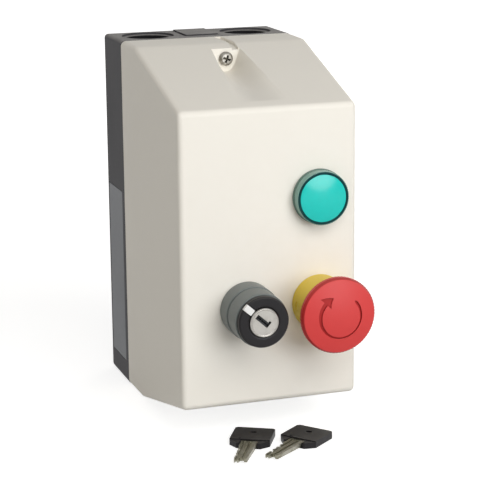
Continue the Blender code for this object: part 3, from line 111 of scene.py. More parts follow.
# Housing
BASE_WALL = 0.003
BASE_EDGE_RADIUS = 0.0022
BASE_EDGE_STEPS = 5
BASE_RIM_WIDTH = 0.0052
BASE_RIM_DEPTH = 0.0045
ENTRY_X = 0.0288
ENTRY_DEPTH = 0.019
ENTRY_RIM_RADIUS = 0.0147
ENTRY_RIM_STEP = 0.0012
ENTRY_BORE_RADIUS = 0.0122
ENTRY_WELL = 0.0070
ENTRY_WELL_ROUND = 0.0008
ENTRY_FLOOR = 0.0018
ENTRY_SCORE_RADIUS = 0.0098
ENTRY_SCORE_WIDTH = 0.0008
ENTRY_SCORE_DEPTH = 0.0006
PAD_WIDTH = 0.0184
PAD_BACK = 0.0028
PAD_FRONT = 0.029
PAD_HEIGHT = 0.0006
PAD_GROOVE = 0.0009
PAD_GROOVE_DEPTH = 0.0020
GASKET_GROOVE = (0.0016, 0.0036)
GASKET_GROOVE_DEPTH = 0.0023
GASKET_WIDTH = 0.0014
GASKET_ROUND = 0.00045
LABEL_RECESS = 0.0007
LABEL_EDGE = 0.00012
WALL_HOLE_X = 0.038
WALL_HOLE_Z = 0.073
WALL_HOLE_RADIUS = 0.0026
WALL_HOLE_SINK = 0.0046
FIXING_HEAD = 0.0025
FIXING_SHANK = 0.00177
FIXING_HOLE = 0.0021
FIXING_PAD_RADIUS = 0.005
RELAY_PAD_WIDTH = 0.0225
RELAY_PAD_HALF_HEIGHT = 0.01475


def middle(node):
    low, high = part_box(node)
    return (low + high) / 2


def on_axis(node):
    """Where a turned piece's axis meets the rear face."""
    place = middle(node)
    return (place.x, 0, place.z)


def back_of(node):
    return -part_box(node)[1].y


def front_of(node):
    return -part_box(node)[0].y


def radius_of(node):
    low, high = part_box(node)
    return (high.x - low.x) / 2


cover_low, cover_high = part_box("front_cover")
HALF_WIDTH = cover_high.x
TOP = cover_high.z
BOTTOM = cover_low.z
COVER_BACK = back_of("front_cover")
PANEL_FRONT = front_of("front_cover")
PANEL_BACK = PANEL_FRONT - COVER_WALL
PANEL_SEAT = PANEL_FRONT + GAP
STRIP_FRONT = COVER_BACK + STRIP_DEPTH
BASE_DEPTH = front_of("rear_housing")
SCREW_Z = middle("cover_screw_top").z
SCREW_INSET = TOP - SCREW_Z
SEAT_DEPTH = front_of("cover_screw_top") - COVER_SCREW_HEAD - GAP
ENDS = ((1, TOP_SLOPE_DROP), (-1, BOTTOM_SLOPE_RISE))


# Mesh making

def part_way(first, second, share):
    return first + (second - first) * share


def rectangle(left, right, low, high):
    return ((left, low), (right, low), (right, high), (left, high))


def loft(loops, ring=False):
    """A closed bmesh through matching loops of points, capped at its ends or joined into a ring."""
    bm = bmesh.new()
    rows = [[bm.verts.new(point) for point in loop] for loop in loops]
    following = rows[1:]
    if ring:
        following.append(rows[0])
    else:
        bm.faces.new(rows[0])
        bm.faces.new(list(reversed(rows[-1])))
    for first, second in zip(rows, following):
        for index in range(len(first)):
            after = (index + 1) % len(first)
            bm.faces.new((first[index], first[after], second[after], second[index]))
    bmesh.ops.recalc_face_normals(bm, faces=bm.faces)
    return bm


def prism(outline, half_width, x=0.0):
    """A bmesh of a (depth, z) outline spread to both sides of x, by a width or a rule of depth."""
    spread = half_width if callable(half_width) else lambda depth: half_width
    bm = bmesh.new()
    left, right = (
        [bm.verts.new((x + side * spread(depth), -depth, z)) for depth, z in outline]
        for side in (-1, 1))
    bm.faces.new(left)
    bm.faces.new(list(reversed(right)))
    for index in range(len(outline)):
        after = (index + 1) % len(outline)
        bm.faces.new((left[index], right[index], right[after], left[after]))
    bmesh.ops.recalc_face_normals(bm, faces=bm.faces)
    return bm


def plate(outline, low, high):
    """A bmesh plate of an (x, y) outline between two heights."""
    bm = bmesh.new()
    face = bm.faces.new([bm.verts.new((x, y, low)) for x, y in outline])
    rise = bmesh.ops.extrude_face_region(bm, geom=[face])["geom"]
    raised = [item for item in rise if isinstance(item, bmesh.types.BMVert)]
    bmesh.ops.translate(bm, verts=raised, vec=(0, 0, high - low))
    bmesh.ops.recalc_face_normals(bm, faces=bm.faces)
    return bm


def block(width, back, front, bottom, top, x=0.0, edge=0.0):
    """A bmesh box, with its edges rounded where an edge radius is given."""
    bm = prism(rectangle(back, front, bottom, top), width / 2, x)
    if edge:
        round_edges(bm, list(bm.edges), edge, 2)
    return bm


def round_edges(bm, edges, radius, segments):
    bmesh.ops.bevel(
        bm, geom=edges, offset=radius, offset_type="OFFSET", segments=segments, profile=0.5,
        affect="EDGES", clamp_overlap=True)


def round_shell(bm, mouth, radius, segments):
    """Rounds every edge of a form but those round its mouth, at a depth."""
    edges = [edge for edge in bm.edges
             if not all(abs(vert.co.y + mouth) < WELD for vert in edge.verts)]
    round_edges(bm, edges, radius, segments)
    return bm


def rounded(corners, closed=False):
    """Points of (radius, depth, round) corners, with an arc for each corner that has a round."""
    points = []
    count = len(corners)
    for index, (radius, depth, turn) in enumerate(corners):
        end = not closed and index in (0, count - 1)
        if end or not turn:
            points.append((radius, depth))
            continue
        corner = Vector((radius, depth))
        before = (Vector(corners[index - 1][:2]) - corner).normalized()
        after = (Vector(corners[(index + 1) % count][:2]) - corner).normalized()
        half = before.angle(after) / 2
        hub = corner + (before + after).normalized() * (turn / math.sin(half))
        start = corner + before * (turn / math.tan(half)) - hub
        finish = corner + after * (turn / math.tan(half)) - hub
        first = math.atan2(start.y, start.x)
        sweep = math.remainder(math.atan2(finish.y, finish.x) - first, math.tau)
        for step in range(ROUND_ARC + 1):
            angle = first + sweep * step / ROUND_ARC
            points.append((hub.x + turn * math.cos(angle), hub.y + turn * math.sin(angle)))
    return points


def spun(corners, steps=FULL_ROUND, closed=False):
    """A bmesh turned about the Y axis from (radius, depth, round) corners, smooth all round."""
    bm = bmesh.new()
    verts = [bm.verts.new((radius, -depth, 0)) for radius, depth in rounded(corners, closed)]
    edges = [bm.edges.new(pair) for pair in zip(verts, verts[1:])]
    if closed:
        edges.append(bm.edges.new((verts[-1], verts[0])))
    bmesh.ops.spin(
        bm, geom=verts + edges, cent=(0, 0, 0), axis=(0, 1, 0), angle=math.tau, steps=steps,
        use_merge=True)
    bmesh.ops.remove_doubles(bm, verts=bm.verts, dist=WELD)
    bmesh.ops.recalc_face_normals(bm, faces=bm.faces)
    hubs = [vert for vert in bm.verts if math.hypot(vert.co.x, vert.co.z) < WELD]
    flat = [hub for hub in hubs if all(abs(face.normal.y) > FLAT_FACING for face in hub.link_faces)]
    bmesh.ops.dissolve_verts(bm, verts=flat)
    return bm


def rod(radius, back, front, steps=SMALL_ROUND):
    return spun(((0, front, 0), (radius, front, 0), (radius, back, 0), (0, back, 0)), steps)


def notch_rim(bm, steps, every, first, depth, on_rim):
    """Draws in one step of so many round a spun form, where the (reach, depth) rule says rim."""
    for vert in bm.verts:
        reach = math.hypot(vert.co.x, vert.co.z)
        step = round(math.atan2(vert.co.z, vert.co.x) / math.tau * steps)
        if on_rim(reach, -vert.co.y) and step % every == first:
            vert.co.x *= 1 - depth / reach
            vert.co.z *= 1 - depth / reach
    return bm


def upright(bm):
    """The same form with its turning axis along Z: what was its front is its top."""
    for vert in bm.verts:
        side, along, other = vert.co
        vert.co = (side, other, -along)
    return bm


def moved(bm, x=0.0, y=0.0, z=0.0):
    bmesh.ops.translate(bm, verts=bm.verts, vec=(x, y, z))
    return bm


def turned_about_y(bm, angle):
    """Turns a form clockwise as seen from the front."""
    for vert in bm.verts:
        x, y, z = vert.co
        vert.co = (x * math.cos(angle) + z * math.sin(angle), y,
                   z * math.cos(angle) - x * math.sin(angle))
    return bm


def linked(name, data):
    made = bpy.data.objects.new(name, data)
    bpy.context.scene.collection.objects.link(made)
    return made


def as_object(name, bm, place=(0, 0, 0)):
    mesh = bpy.data.meshes.new(name)
    bm.to_mesh(mesh)
    bm.free()
    made = linked(name, mesh)
    made.location = place
    return made


def mesh_as_shown(made):
    bpy.context.view_layer.update()
    shown = made.evaluated_get(bpy.context.evaluated_depsgraph_get())
    return bpy.data.meshes.new_from_object(shown)


def settle(made):
    """Writes the object's modifiers into its mesh."""
    mesh = mesh_as_shown(made)
    old = made.data
    made.modifiers.clear()
    made.data = mesh
    bpy.data.meshes.remove(old)


def work(made, operation, forms):
    """Cuts or joins the given forms, made in the object's own place, one after another."""
    tools = []
    for index, bm in enumerate(forms):
        tool = as_object(f"{made.name}.tool{index}", bm, made.location)
        step = made.modifiers.new(tool.name, "BOOLEAN")
        step.operation = operation
        step.solver = "EXACT"
        step.object = tool
        tools.append(tool)
    settle(made)
    for tool in tools:
        bpy.data.objects.remove(tool, do_unlink=True)


def soft_edges(made, width, segments=2):
    """Adds a modifier that rounds every sharp edge."""
    step = made.modifiers.new("soft_edges", "BEVEL")
    step.width = width
    step.segments = segments
    step.limit_method = "ANGLE"
    step.angle_limit = ROUNDED_ANGLE
    return step


def soften(made, width, segments=2):
    soft_edges(made, width, segments).miter_outer = "MITER_ARC"
    settle(made)


def close_up(made):
    """Joins coincident corners, and takes out the faces without area that cutting leaves."""
    bm = bmesh.new()
    bm.from_mesh(made.data)
    bmesh.ops.remove_doubles(bm, verts=bm.verts[:], dist=CLOSE_UP)
    bmesh.ops.dissolve_degenerate(bm, edges=bm.edges[:], dist=CLOSE_UP)
    bm.to_mesh(made.data)
    bm.free()


def even_shading(made):
    """Shades a piece by its larger faces, and each large flat one as flat right up to its edges."""
    made.modifiers.new("even_shading", "WEIGHTED_NORMAL").keep_sharp = True
    settle(made)
    mesh = made.data
    normals = [corner.vector.copy() for corner in mesh.corner_normals]
    for face in mesh.polygons:
        if face.area > FLAT_AREA:
            for corner in face.loop_indices:
                normals[corner] = face.normal.copy()
    mesh.normals_split_custom_set(normals)


def coat(made, finish):
    """Gives an object its finish, smooth but for its sharp edges."""
    made.data.materials.clear()
    made.data.materials.append(finish)
    made.data.shade_smooth()
    made.data.set_sharp_from_angle(angle=SMOOTH_ANGLE)


def add_piece(made, finish, body, stands_for=()):
    """Gives a piece its finish, its shading, its body and the CAD nodes it stands for."""
    close_up(made)
    coat(made, finish)
    even_shading(made)
    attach(made, body)
    if stands_for:
        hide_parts(*stands_for)


def recoat(made, finish, chosen):
    """Gives a second finish to the faces whose middle, in the piece's own place, the rule picks."""
    made.data.materials.append(finish)
    for face in made.data.polygons:
        if chosen(face.center):
            face.material_index = len(made.data.materials) - 1


# Finishes

MID_GREY = (0.5, 0.5, 0.5, 1)
RUBBED_PALE = (0.8, 0.8, 0.8, 1)
DUST_AND_SHEEN_GREY = (0.55, 0.53, 0.5, 1)
BARE_GREY = (0.6, 0.6, 0.6, 1)
STAIN_BROWN = (0.3, 0.28, 0.25, 1)
BARE_METAL = (236, 234, 230)
MIX_INPUTS = (0, 6, 7)
MIX_OUTPUT = 2
DRIFT_SCALE = 22.0
DRIFT_GAIN = 4.0
FLECK_SCALE = 420.0
FLECK_SHARE = 0.5
RUB_SCALE = 160.0
RUB_EDGE = (0.515, 0.60)
RUB_PATCH = (0.38, 0.66)
DUST_SCALE = 70.0
DUST_PATCH = (0.3, 0.75)
DUST_FACING = (0.2, 1.0)
DUST_UNEVEN = 0.35
STAIN_SCALE = 240.0
STAIN_PATCH = (0.45, 0.75)
LINE_GLOSS = 0.08
STAIN_GLOSS = 0.12
METAL_RUB = 0.4
RUB_GAIN = 1.35
RUB_LIFT = 0.02
GRAIN_DEPTH = 0.0001
LINE_DEPTH = 0.00005
LENS_IOR = 1.49


def display(red, green, blue):
    """A display colour, 0 to 255, as linear values with alpha."""
    shares = [channel / 255 for channel in (red, green, blue)]
    linear = [share / 12.92 if share <= 0.04045 else ((share + 0.055) / 1.055) ** 2.4
              for share in shares]
    return (*linear, 1.0)


def feed(socket, value):
    """Links an input to another socket, or sets it to a plain value."""
    if isinstance(value, bpy.types.NodeSocket):
        socket.id_data.links.new(value, socket)
    else:
        socket.default_value = value


def tree_of(values):
    return next(value.id_data for value in values if isinstance(value, bpy.types.NodeSocket))


def add_node(tree, kind, inputs=None, **settings):
    """A node with its settings, and its inputs set to values or linked to other sockets."""
    node = tree.nodes.new(kind)
    for name, value in settings.items():
        setattr(node, name, value)
    for label, value in (inputs or {}).items():
        feed(node.inputs[label], value)
    return node


def math_step(operation, *values):
    inputs = dict(enumerate(values))
    return add_node(tree_of(values), "ShaderNodeMath", inputs, operation=operation).outputs[0]


plus = partial(math_step, "ADD")
minus = partial(math_step, "SUBTRACT")
times = partial(math_step, "MULTIPLY")
larger = partial(math_step, "MAXIMUM")


def mix_colour(share, first, second, blend="MIX"):
    node = add_node(
        tree_of((share, first, second)), "ShaderNodeMix", data_type="RGBA", blend_type=blend)
    for index, value in zip(MIX_INPUTS, (share, first, second)):
        feed(node.inputs[index], value)
    return node.outputs[MIX_OUTPUT]


def ramp(value, low, high):
    """The value spread from low..high to 0..1, clamped and eased."""
    node = add_node(
        value.id_data, "ShaderNodeMapRange", {"Value": value, "From Min": low, "From Max": high},
        interpolation_type="SMOOTHSTEP")
    return node.outputs["Result"]


def own_place(tree):
    return add_node(tree, "ShaderNodeTexCoord").outputs["Object"]


def noise(place, scale, detail, roughness=0.5):
    node = add_node(place.id_data, "ShaderNodeTexNoise", {
        "Vector": place, "Scale": scale, "Detail": detail, "Roughness": roughness})
    return node.outputs[0]


def new_group(name, **inputs):
    """An empty shader group with an input for each named default, a colour or a number."""
    group = bpy.data.node_groups.new(name, "ShaderNodeTree")
    for label, value in inputs.items():
        kind = "NodeSocketFloat" if isinstance(value, float) else "NodeSocketColor"
        group.interface.new_socket(label, in_out="INPUT", socket_type=kind).default_value = value
    return group, group.nodes.new("NodeGroupInput").outputs


def put_out(group, **results):
    """Gives a group an output for each named socket."""
    for label, socket in results.items():
        kind = "NodeSocketColor" if socket.type == "RGBA" else "NodeSocketFloat"
        group.interface.new_socket(label, in_out="OUTPUT", socket_type=kind)
    add_node(group, "NodeGroupOutput", results)
    return group


def make_moulded_grain():
    """Spark-eroded mould grain: fine pebbles, slow colour drift and uneven gloss."""
    group, given = new_group(
        "moulded_grain", Colour=MID_GREY, Drift=0.04, Grain=2600.0, Gloss=0.45, Unevenness=0.12)
    place = own_place(group)
    pebbles = noise(place, given["Grain"], 2.0)
    slow = noise(place, DRIFT_SCALE, 4.0, 0.6)
    speck = noise(place, FLECK_SCALE, 3.0)
    drift = minus(slow, 0.5)
    fleck = times(minus(speck, 0.5), FLECK_SHARE)
    share = times(plus(drift, fleck), given["Drift"])
    level = plus(times(share, DRIFT_GAIN), 1.0)
    tone = add_node(group, "ShaderNodeCombineColor", {"Red": level, "Green": level, "Blue": level})
    colour = mix_colour(1.0, given["Colour"], tone.outputs[0], "MULTIPLY")
    uneven = times(plus(drift, fleck), given["Unevenness"])
    return put_out(group, Colour=colour, Roughness=plus(given["Gloss"], uneven), Height=pebbles)


def make_edge_rub():
    """Handling wear: edges rubbed paler, broken up so that it is never a clean line."""
    group, given = new_group("edge_rub", Colour=MID_GREY, Rubbed=RUBBED_PALE, Amount=0.3)
    place = own_place(group)
    edge = ramp(add_node(group, "ShaderNodeNewGeometry").outputs["Pointiness"], *RUB_EDGE)
    patch = noise(place, RUB_SCALE, 5.0)
    broken = times(edge, ramp(patch, *RUB_PATCH))
    mask = times(broken, given["Amount"])
    return put_out(group, Colour=mix_colour(mask, given["Colour"], given["Rubbed"]))


def make_dust_and_top_sheen():
    """Lightens faces that look up: a thin film of workshop dusting, and where the amount is large,
    painted sheen on top faces.
    """
    group, given = new_group("dust_and_top_sheen", Colour=MID_GREY, Dust=DUST_AND_SHEEN_GREY, Amount=0.1)
    place = own_place(group)
    normal = add_node(group, "ShaderNodeNewGeometry").outputs["Normal"]
    up = add_node(group, "ShaderNodeSeparateXYZ", {"Vector": normal}).outputs["Z"]
    cloud = noise(place, DUST_SCALE, 6.0)
    uneven = times(ramp(cloud, *DUST_PATCH), DUST_UNEVEN)
    film = times(ramp(up, *DUST_FACING), plus(uneven, 1.0 - DUST_UNEVEN))
    mask = times(film, given["Amount"])
    return put_out(group, Colour=mix_colour(mask, given["Colour"], given["Dust"]))


def make_tool_marks():
    """Machined metal: rings about the piece's own Y axis, with stains and a changing polish."""
    group, given = new_group(
        "tool_marks", Colour=BARE_GREY, Stain=STAIN_BROWN, Stained=0.2, Lines=900.0, Gloss=0.3)
    place = own_place(group)
    rings = add_node(group, "ShaderNodeTexWave", {
        "Vector": place, "Scale": given["Lines"], "Distortion": 1.5, "Detail": 2.0,
        "Detail Scale": 2.0}, wave_type="RINGS", rings_direction="Y").outputs[1]
    cloud = noise(place, STAIN_SCALE, 6.0)
    stained = times(ramp(cloud, *STAIN_PATCH), given["Stained"])
    lines = times(rings, LINE_GLOSS)
    uneven = plus(lines, times(cloud, STAIN_GLOSS))
    colour = mix_colour(stained, given["Colour"], given["Stain"])
    return put_out(group, Colour=colour, Roughness=plus(given["Gloss"], uneven), Height=rings)


MOULDED_GRAIN = make_moulded_grain()
EDGE_RUB = make_edge_rub()
DUST_AND_TOP_SHEEN = make_dust_and_top_sheen()
TOOL_MARKS = make_tool_marks()


def new_finish(name):
    made = bpy.data.materials.new(name)
    made.use_nodes = True
    return made, made.node_tree, made.node_tree.nodes["Principled BSDF"].inputs


def place_group(tree, group, **values):
    return add_node(tree, "ShaderNodeGroup", values, node_tree=group).outputs


def feed_surface(shader, colour, base):
    feed(shader["Base Color"], colour)
    feed(shader["Roughness"], base["Roughness"])


def bump(tree, shader, height, strength, distance):
    node = add_node(
        tree, "ShaderNodeBump", {"Height": height, "Strength": strength, "Distance": distance})
    feed(shader["Normal"], node.outputs["Normal"])


def moulded(
        name, rgb, gloss, grain=2600.0, relief=0.12, drift=0.04, rub=0.25, shine=0.5, dust_and_sheen=0.06):
    """A moulded plastic: grain, rubbed edges and a little dusting on faces that look up, which in
    larger amounts is painted sheen.
    """
    made, tree, shader = new_finish(name)
    colour = display(*rgb)
    feed(shader["Specular IOR Level"], shine)
    base = place_group(tree, MOULDED_GRAIN, Colour=colour, Drift=drift, Grain=grain, Gloss=gloss)
    paler = [min(1.0, channel * RUB_GAIN + RUB_LIFT) for channel in colour[:3]]
    worn = place_group(tree, EDGE_RUB, Colour=base["Colour"], Rubbed=(*paler, 1.0), Amount=rub)
    dusted_and_sheened = place_group(tree, DUST_AND_TOP_SHEEN, Colour=worn["Colour"], Amount=dust_and_sheen)
    feed_surface(shader, dusted_and_sheened["Colour"], base)
    bump(tree, shader, base["Height"], relief, GRAIN_DEPTH)
    return made


def machined(name, rgb, stain, gloss, stained=0.2, lines=900.0, relief=0.08):
    """A machined or plated metal with ring marks."""
    made, tree, shader = new_finish(name)
    feed(shader["Metallic"], 1.0)
    base = place_group(
        tree, TOOL_MARKS, Colour=display(*rgb), Stain=display(*stain), Stained=stained,
        Lines=lines, Gloss=gloss)
    worn = place_group(
        tree, EDGE_RUB, Colour=base["Colour"], Rubbed=display(*BARE_METAL), Amount=METAL_RUB)
    feed_surface(shader, worn["Colour"], base)
    bump(tree, shader, base["Height"], relief, LINE_DEPTH)
    return made


def lens_finish(name, rgb, clear, shine, gloss):
    """Tinted plastic, more or less clear, with a faint mottle of its moulded inside."""
    made, tree, shader = new_finish(name)
    base = place_group(
        tree, MOULDED_GRAIN, Colour=display(*rgb), Drift=0.05, Grain=500.0, Gloss=gloss,
        Unevenness=0.06)
    feed_surface(shader, base["Colour"], base)
    feed(shader["Transmission Weight"], clear)
    feed(shader["IOR"], LENS_IOR)
    feed(shader["Specular IOR Level"], shine)
    return made


CREAM = moulded(
    "cream_moulding", (240, 236, 227), 0.55, rub=0.06, dust_and_sheen=0.02, drift=0.006, shine=0.2)
# The graphite's high amount on faces that look up is partly dusting and partly painted sheen that
# lightens the housing's top
GRAPHITE = moulded(
    "graphite_moulding", (68, 67, 70), 0.62, grain=1900.0, relief=0.2, dust_and_sheen=0.4, shine=0.13)
# Painted shade: near-black for the insides of the cable entry wells, where the graphite plastic
# lies in shade
PAINTED_WELL_SHADE = moulded(
    "painted_well_shade_moulding", (24, 24, 26), 0.6, grain=1900.0, relief=0.2, shine=0.1)
LABEL = moulded(
    "blank_label_film", (68, 72, 79), 0.4, grain=5000.0, relief=0.03, rub=0.1, shine=0.25)
DARK = moulded("dark_moulding", (50, 51, 54), 0.5, grain=1900.0, relief=0.18, shine=0.3)
PALE = moulded("pale_moulding", (178, 180, 178), 0.45)
BLACK = moulded("black_moulding", (26, 24, 26), 0.42, relief=0.1, rub=0.3, shine=0.2)
WHITE = moulded("white_moulding", (226, 226, 224), 0.36, relief=0.05)
COLLAR_GREY = moulded("collar_grey_moulding", (106, 112, 111), 0.42, relief=0.08, shine=0.35)
RED = moulded(
    "red_moulding", (206, 58, 57), 0.48, relief=0.06, drift=0.02, rub=0.15, dust_and_sheen=0.02, shine=0.4)
# Painted shade: a darker red, with less sheen, for the walls and floor of the release arrow's
# recess
PAINTED_SHADE_RED = moulded("arrow_recess_painted_shade_red", (172, 40, 40), 0.5, relief=0.06, drift=0.02, shine=0.2)
YELLOW = moulded(
    "yellow_moulding", (230, 200, 52), 0.42, relief=0.06, drift=0.03, rub=0.15, shine=0.35)
BLUE = moulded("blue_moulding", (48, 92, 168), 0.4)
RUBBER = moulded("gasket_rubber", (36, 36, 38), 0.75, grain=900.0, relief=0.25)
ZINC = machined("zinc_plate", (140, 136, 128), (84, 78, 68), 0.3)
CHROME = machined(
    "lock_chrome", (164, 161, 156), (108, 104, 98), 0.2, stained=0.3, lines=700.0, relief=0.03)
KEY_STEEL = machined(
    "key_blade_steel", (138, 136, 120), (92, 86, 70), 0.34, stained=0.4, lines=300.0)
# Painted shade: dark metal for the inside of the screws' cross recesses, where shade falls in the
# zinc plating
PAINTED_RECESS_SHADE = machined("painted_recess_shade_metal", (84, 80, 72), (44, 40, 34), 0.45, stained=0.5)
COPPER = machined("copper_strip", (196, 118, 84), (104, 62, 48), 0.28, stained=0.3)
BRASS = machined("brass_strip", (202, 172, 98), (120, 96, 52), 0.28, stained=0.25)
GREEN_LENS = lens_finish("green_lens", (0, 198, 188), 0.0, 0.38, gloss=0.2)
GREEN_SKIRT = lens_finish("green_skirt", (134, 182, 170), 0.35, 0.4, gloss=0.22)
# Painted shade: the flange's grey-green, made darker than the skirt's for the shade at the lens's
# base
SHADED_GREEN_FLANGE = lens_finish("green_flange_painted_shade", (96, 122, 112), 0.0, 0.3, gloss=0.25)
GREEN_RING = lens_finish("green_rim", (2, 58, 60), 0.0, 0.1, gloss=0.2)


# Front cover

def slope_drop(depth, drop):
    """How far inside the box's end a sloped end lies at a depth; at the front it is the drop."""
    return max(0.0, drop * (depth - STRIP_FRONT) / (PANEL_FRONT - STRIP_FRONT))


def cover_half_width(depth):
    return HALF_WIDTH - FRONT_TAPER * (depth - COVER_BACK) / (PANEL_FRONT - COVER_BACK)


def cover_outline(back, front, inset, slope_inset):
    top = TOP - slope_drop(front, TOP_SLOPE_DROP) - slope_inset(TOP_SLOPE_DROP)
    bottom = BOTTOM + slope_drop(front, BOTTOM_SLOPE_RISE) + slope_inset(BOTTOM_SLOPE_RISE)
    return [
        (back, BOTTOM + inset), (STRIP_FRONT, BOTTOM + inset), (front, bottom),
        (front, top), (STRIP_FRONT, TOP - inset), (back, TOP - inset)]


def slope_wall(drop):
    return COVER_WALL / math.cos(math.atan2(drop, PANEL_FRONT - STRIP_FRONT))


def trough(side, drop, grow=0.0):
    """The scoop before a cover screw: a deep U at the seat that widens and fades to the front."""
    seat = SEAT_DEPTH - grow
    fade = PANEL_FRONT - TROUGH_FADE + grow
    seat_sunk = SCREW_INSET + SEAT_RADIUS - slope_drop(SEAT_DEPTH, drop)
    flare_edge = math.cos(TROUGH_FLARE * math.pi) ** 2
    loops = []
    for station in range(TROUGH_STATIONS):
        share = station / (TROUGH_STATIONS - 1)
        depth = part_way(seat, fade, share)
        surface = slope_drop(depth, drop)
        half = part_way(SEAT_HALF_WIDTH, TROUGH_FRONT_HALF_WIDTH, share) + grow
        sunk = part_way(seat_sunk, -TROUGH_RUN_OUT, share) + grow
        ease = min(1.0, share * TROUGH_FLARE_PACE)
        flared = TROUGH_FLARE_SHARE * ease * ease * (3 - 2 * ease)
        curve = part_way(TROUGH_SEAT_CURVE, TROUGH_FRONT_CURVE, share)
        outline = [(half, -SEAT_RADIUS)]
        for step in range(TROUGH_ACROSS + 1):
            u = 1 - 2 * step / TROUGH_ACROSS
            steep = 1 - abs(u) ** curve
            gentle = math.cos(TROUGH_FLARE * math.pi * u) ** 2 - flare_edge
            gentle /= 1 - flare_edge
            outline.append((half * u, surface + sunk * part_way(steep, gentle, flared)))
        outline.append((-half, -SEAT_RADIUS))
        loops.append([(x, -depth, side * (TOP - inset)) for x, inset in outline])
    return loft(loops)


def seal_groove(side):
    """The narrow groove that runs back from the right of a screw's seat over the straight strip."""
    back = SEAT_DEPTH - SEAL_GROOVE_LENGTH
    bend = SEAT_DEPTH - SEAL_GROOVE_RAMP
    front = SEAT_DEPTH + OVERRUN
    insets = (
        (back, SEAL_GROOVE_BACK_SINK), (bend, SEAL_GROOVE_MIDDLE_SINK),
        (front, SEAL_GROOVE_SEAT_SINK), (front, -OVERRUN), (back, -OVERRUN))
    outline = [(depth, side * (TOP - inset)) for depth, inset in insets]
    return prism(outline, SEAL_GROOVE_WIDTH / 2, SEAL_GROOVE_X)


def by_screws(radius, back, front):
    """A rod on the axis of each cover screw."""
    return [moved(rod(radius, back, front), z=side * SCREW_Z) for side, drop in ENDS]


def add_cover():
    outside = cover_outline(COVER_BACK, PANEL_FRONT, 0.0, lambda drop: 0.0)
    shell = prism(outside, cover_half_width)
    cover = as_object("cover_shell", round_shell(
        shell, COVER_BACK, COVER_EDGE_RADIUS, COVER_EDGE_STEPS))
    hollow = cover_outline(COVER_BACK - OVERRUN, PANEL_BACK, COVER_WALL, slope_wall)
    void = as_object("cover_void", prism(
        hollow, lambda depth: cover_half_width(depth) - COVER_WALL))
    work(void, "DIFFERENCE", [trough(side, drop, COVER_WALL) for side, drop in ENDS])
    inside = bmesh.new()
    inside.from_mesh(void.data)
    bpy.data.objects.remove(void, do_unlink=True)
    work(cover, "DIFFERENCE", [inside])
    work(cover, "UNION", by_screws(BOSS_RADIUS, COVER_BACK, SEAT_DEPTH - COVER_WALL / 2))
    cuts = [trough(side, drop) for side, drop in ENDS]
    cuts += [seal_groove(side) for side, drop in ENDS]
    cuts += by_screws(COVER_SCREW_HOLE, COVER_BACK - OVERRUN, SEAT_DEPTH + OVERRUN)
    for unit in ("pilot_bezel", "key_bezel", "estop_bezel"):
        place = middle(unit)
        hole = rod(PANEL_HOLE_RADIUS, PANEL_BACK - OVERRUN, PANEL_FRONT + OVERRUN, FULL_ROUND)
        cuts.append(moved(hole, x=place.x, z=place.z))
    work(cover, "DIFFERENCE", cuts)
    add_piece(cover, CREAM, "cover", ["front_cover"])


# Rear housing

def frame_ring(outer, inner, back, front):
    """A rectangular ring square to Y: outer and inner are (half width, half height)."""
    stations = ((outer, back), (outer, front), (inner, front), (inner, back))
    return loft([
        [(x, -depth, z) for x, z in rectangle(-half_width, half_width, -half_height, half_height)]
        for (half_width, half_height), depth in stations], ring=True)


def entry_forms(side, x):
    """The boss of a cable entry, and the cut of its stepped well and scored knock-out."""
    def turned_entry(corners):
        bm = upright(spun(corners))
        if side < 0:
            for vert in bm.verts:
                vert.co.z = -vert.co.z
            bmesh.ops.reverse_faces(bm, faces=bm.faces)
        return moved(bm, x=x, y=-ENTRY_DEPTH)

    floor = TOP - ENTRY_WELL
    boss_top = TOP - BASE_WALL / 2
    boss_radius = ENTRY_RIM_RADIUS + GAP
    boss = turned_entry((
        (0, boss_top, 0), (boss_radius, boss_top, 0),
        (boss_radius, floor - ENTRY_FLOOR, 0), (0, floor - ENTRY_FLOOR, 0)))
    step = TOP - ENTRY_RIM_STEP
    well = turned_entry((
        (0, TOP + OVERRUN, 0), (ENTRY_RIM_RADIUS, TOP + OVERRUN, 0),
        (ENTRY_RIM_RADIUS, step, SOFT_EDGE), (ENTRY_BORE_RADIUS, step, EASED_EDGE),
        (ENTRY_BORE_RADIUS, floor, ENTRY_WELL_ROUND), (ENTRY_SCORE_RADIUS, floor, 0),
        (ENTRY_SCORE_RADIUS - ENTRY_SCORE_WIDTH / 2, floor - ENTRY_SCORE_DEPTH, 0),
        (ENTRY_SCORE_RADIUS - ENTRY_SCORE_WIDTH, floor, 0), (0, floor, 0)))
    return boss, well


def pad_grooves():
    """The groove round three sides of the raised pad between the top entries."""
    ends = (TOP - PAD_GROOVE_DEPTH, TOP + PAD_HEIGHT + OVERRUN)
    front = PAD_FRONT + PAD_GROOVE
    aside = (PAD_WIDTH + PAD_GROOVE) / 2
    sides = [block(PAD_GROOVE, PAD_BACK, front, *ends, x) for x in (-aside, aside)]
    return [*sides, block(PAD_WIDTH + PAD_GROOVE, PAD_FRONT, front, *ends)]


def wall_hole(x, z):
    """A countersunk screw hole in the rear wall."""
    inside = BASE_WALL + OVERRUN
    sink = spun((
        (0, inside, 0), (WALL_HOLE_SINK + OVERRUN, inside, 0), (WALL_HOLE_RADIUS, BASE_WALL / 2, 0),
        (WALL_HOLE_RADIUS, -OVERRUN, 0), (0, -OVERRUN, 0)), SMALL_ROUND)
    return moved(sink, x=x, z=z)


# Picks the faces inside the cable entry wells that get the painted shade
def in_well(spot):
    sunk = TOP - abs(spot.z)
    reach = math.hypot(abs(spot.x) - ENTRY_X, spot.y + ENTRY_DEPTH)
    deep = ENTRY_RIM_STEP + GAP < sunk < ENTRY_WELL + OVERRUN
    return deep and reach < ENTRY_BORE_RADIUS + GAP


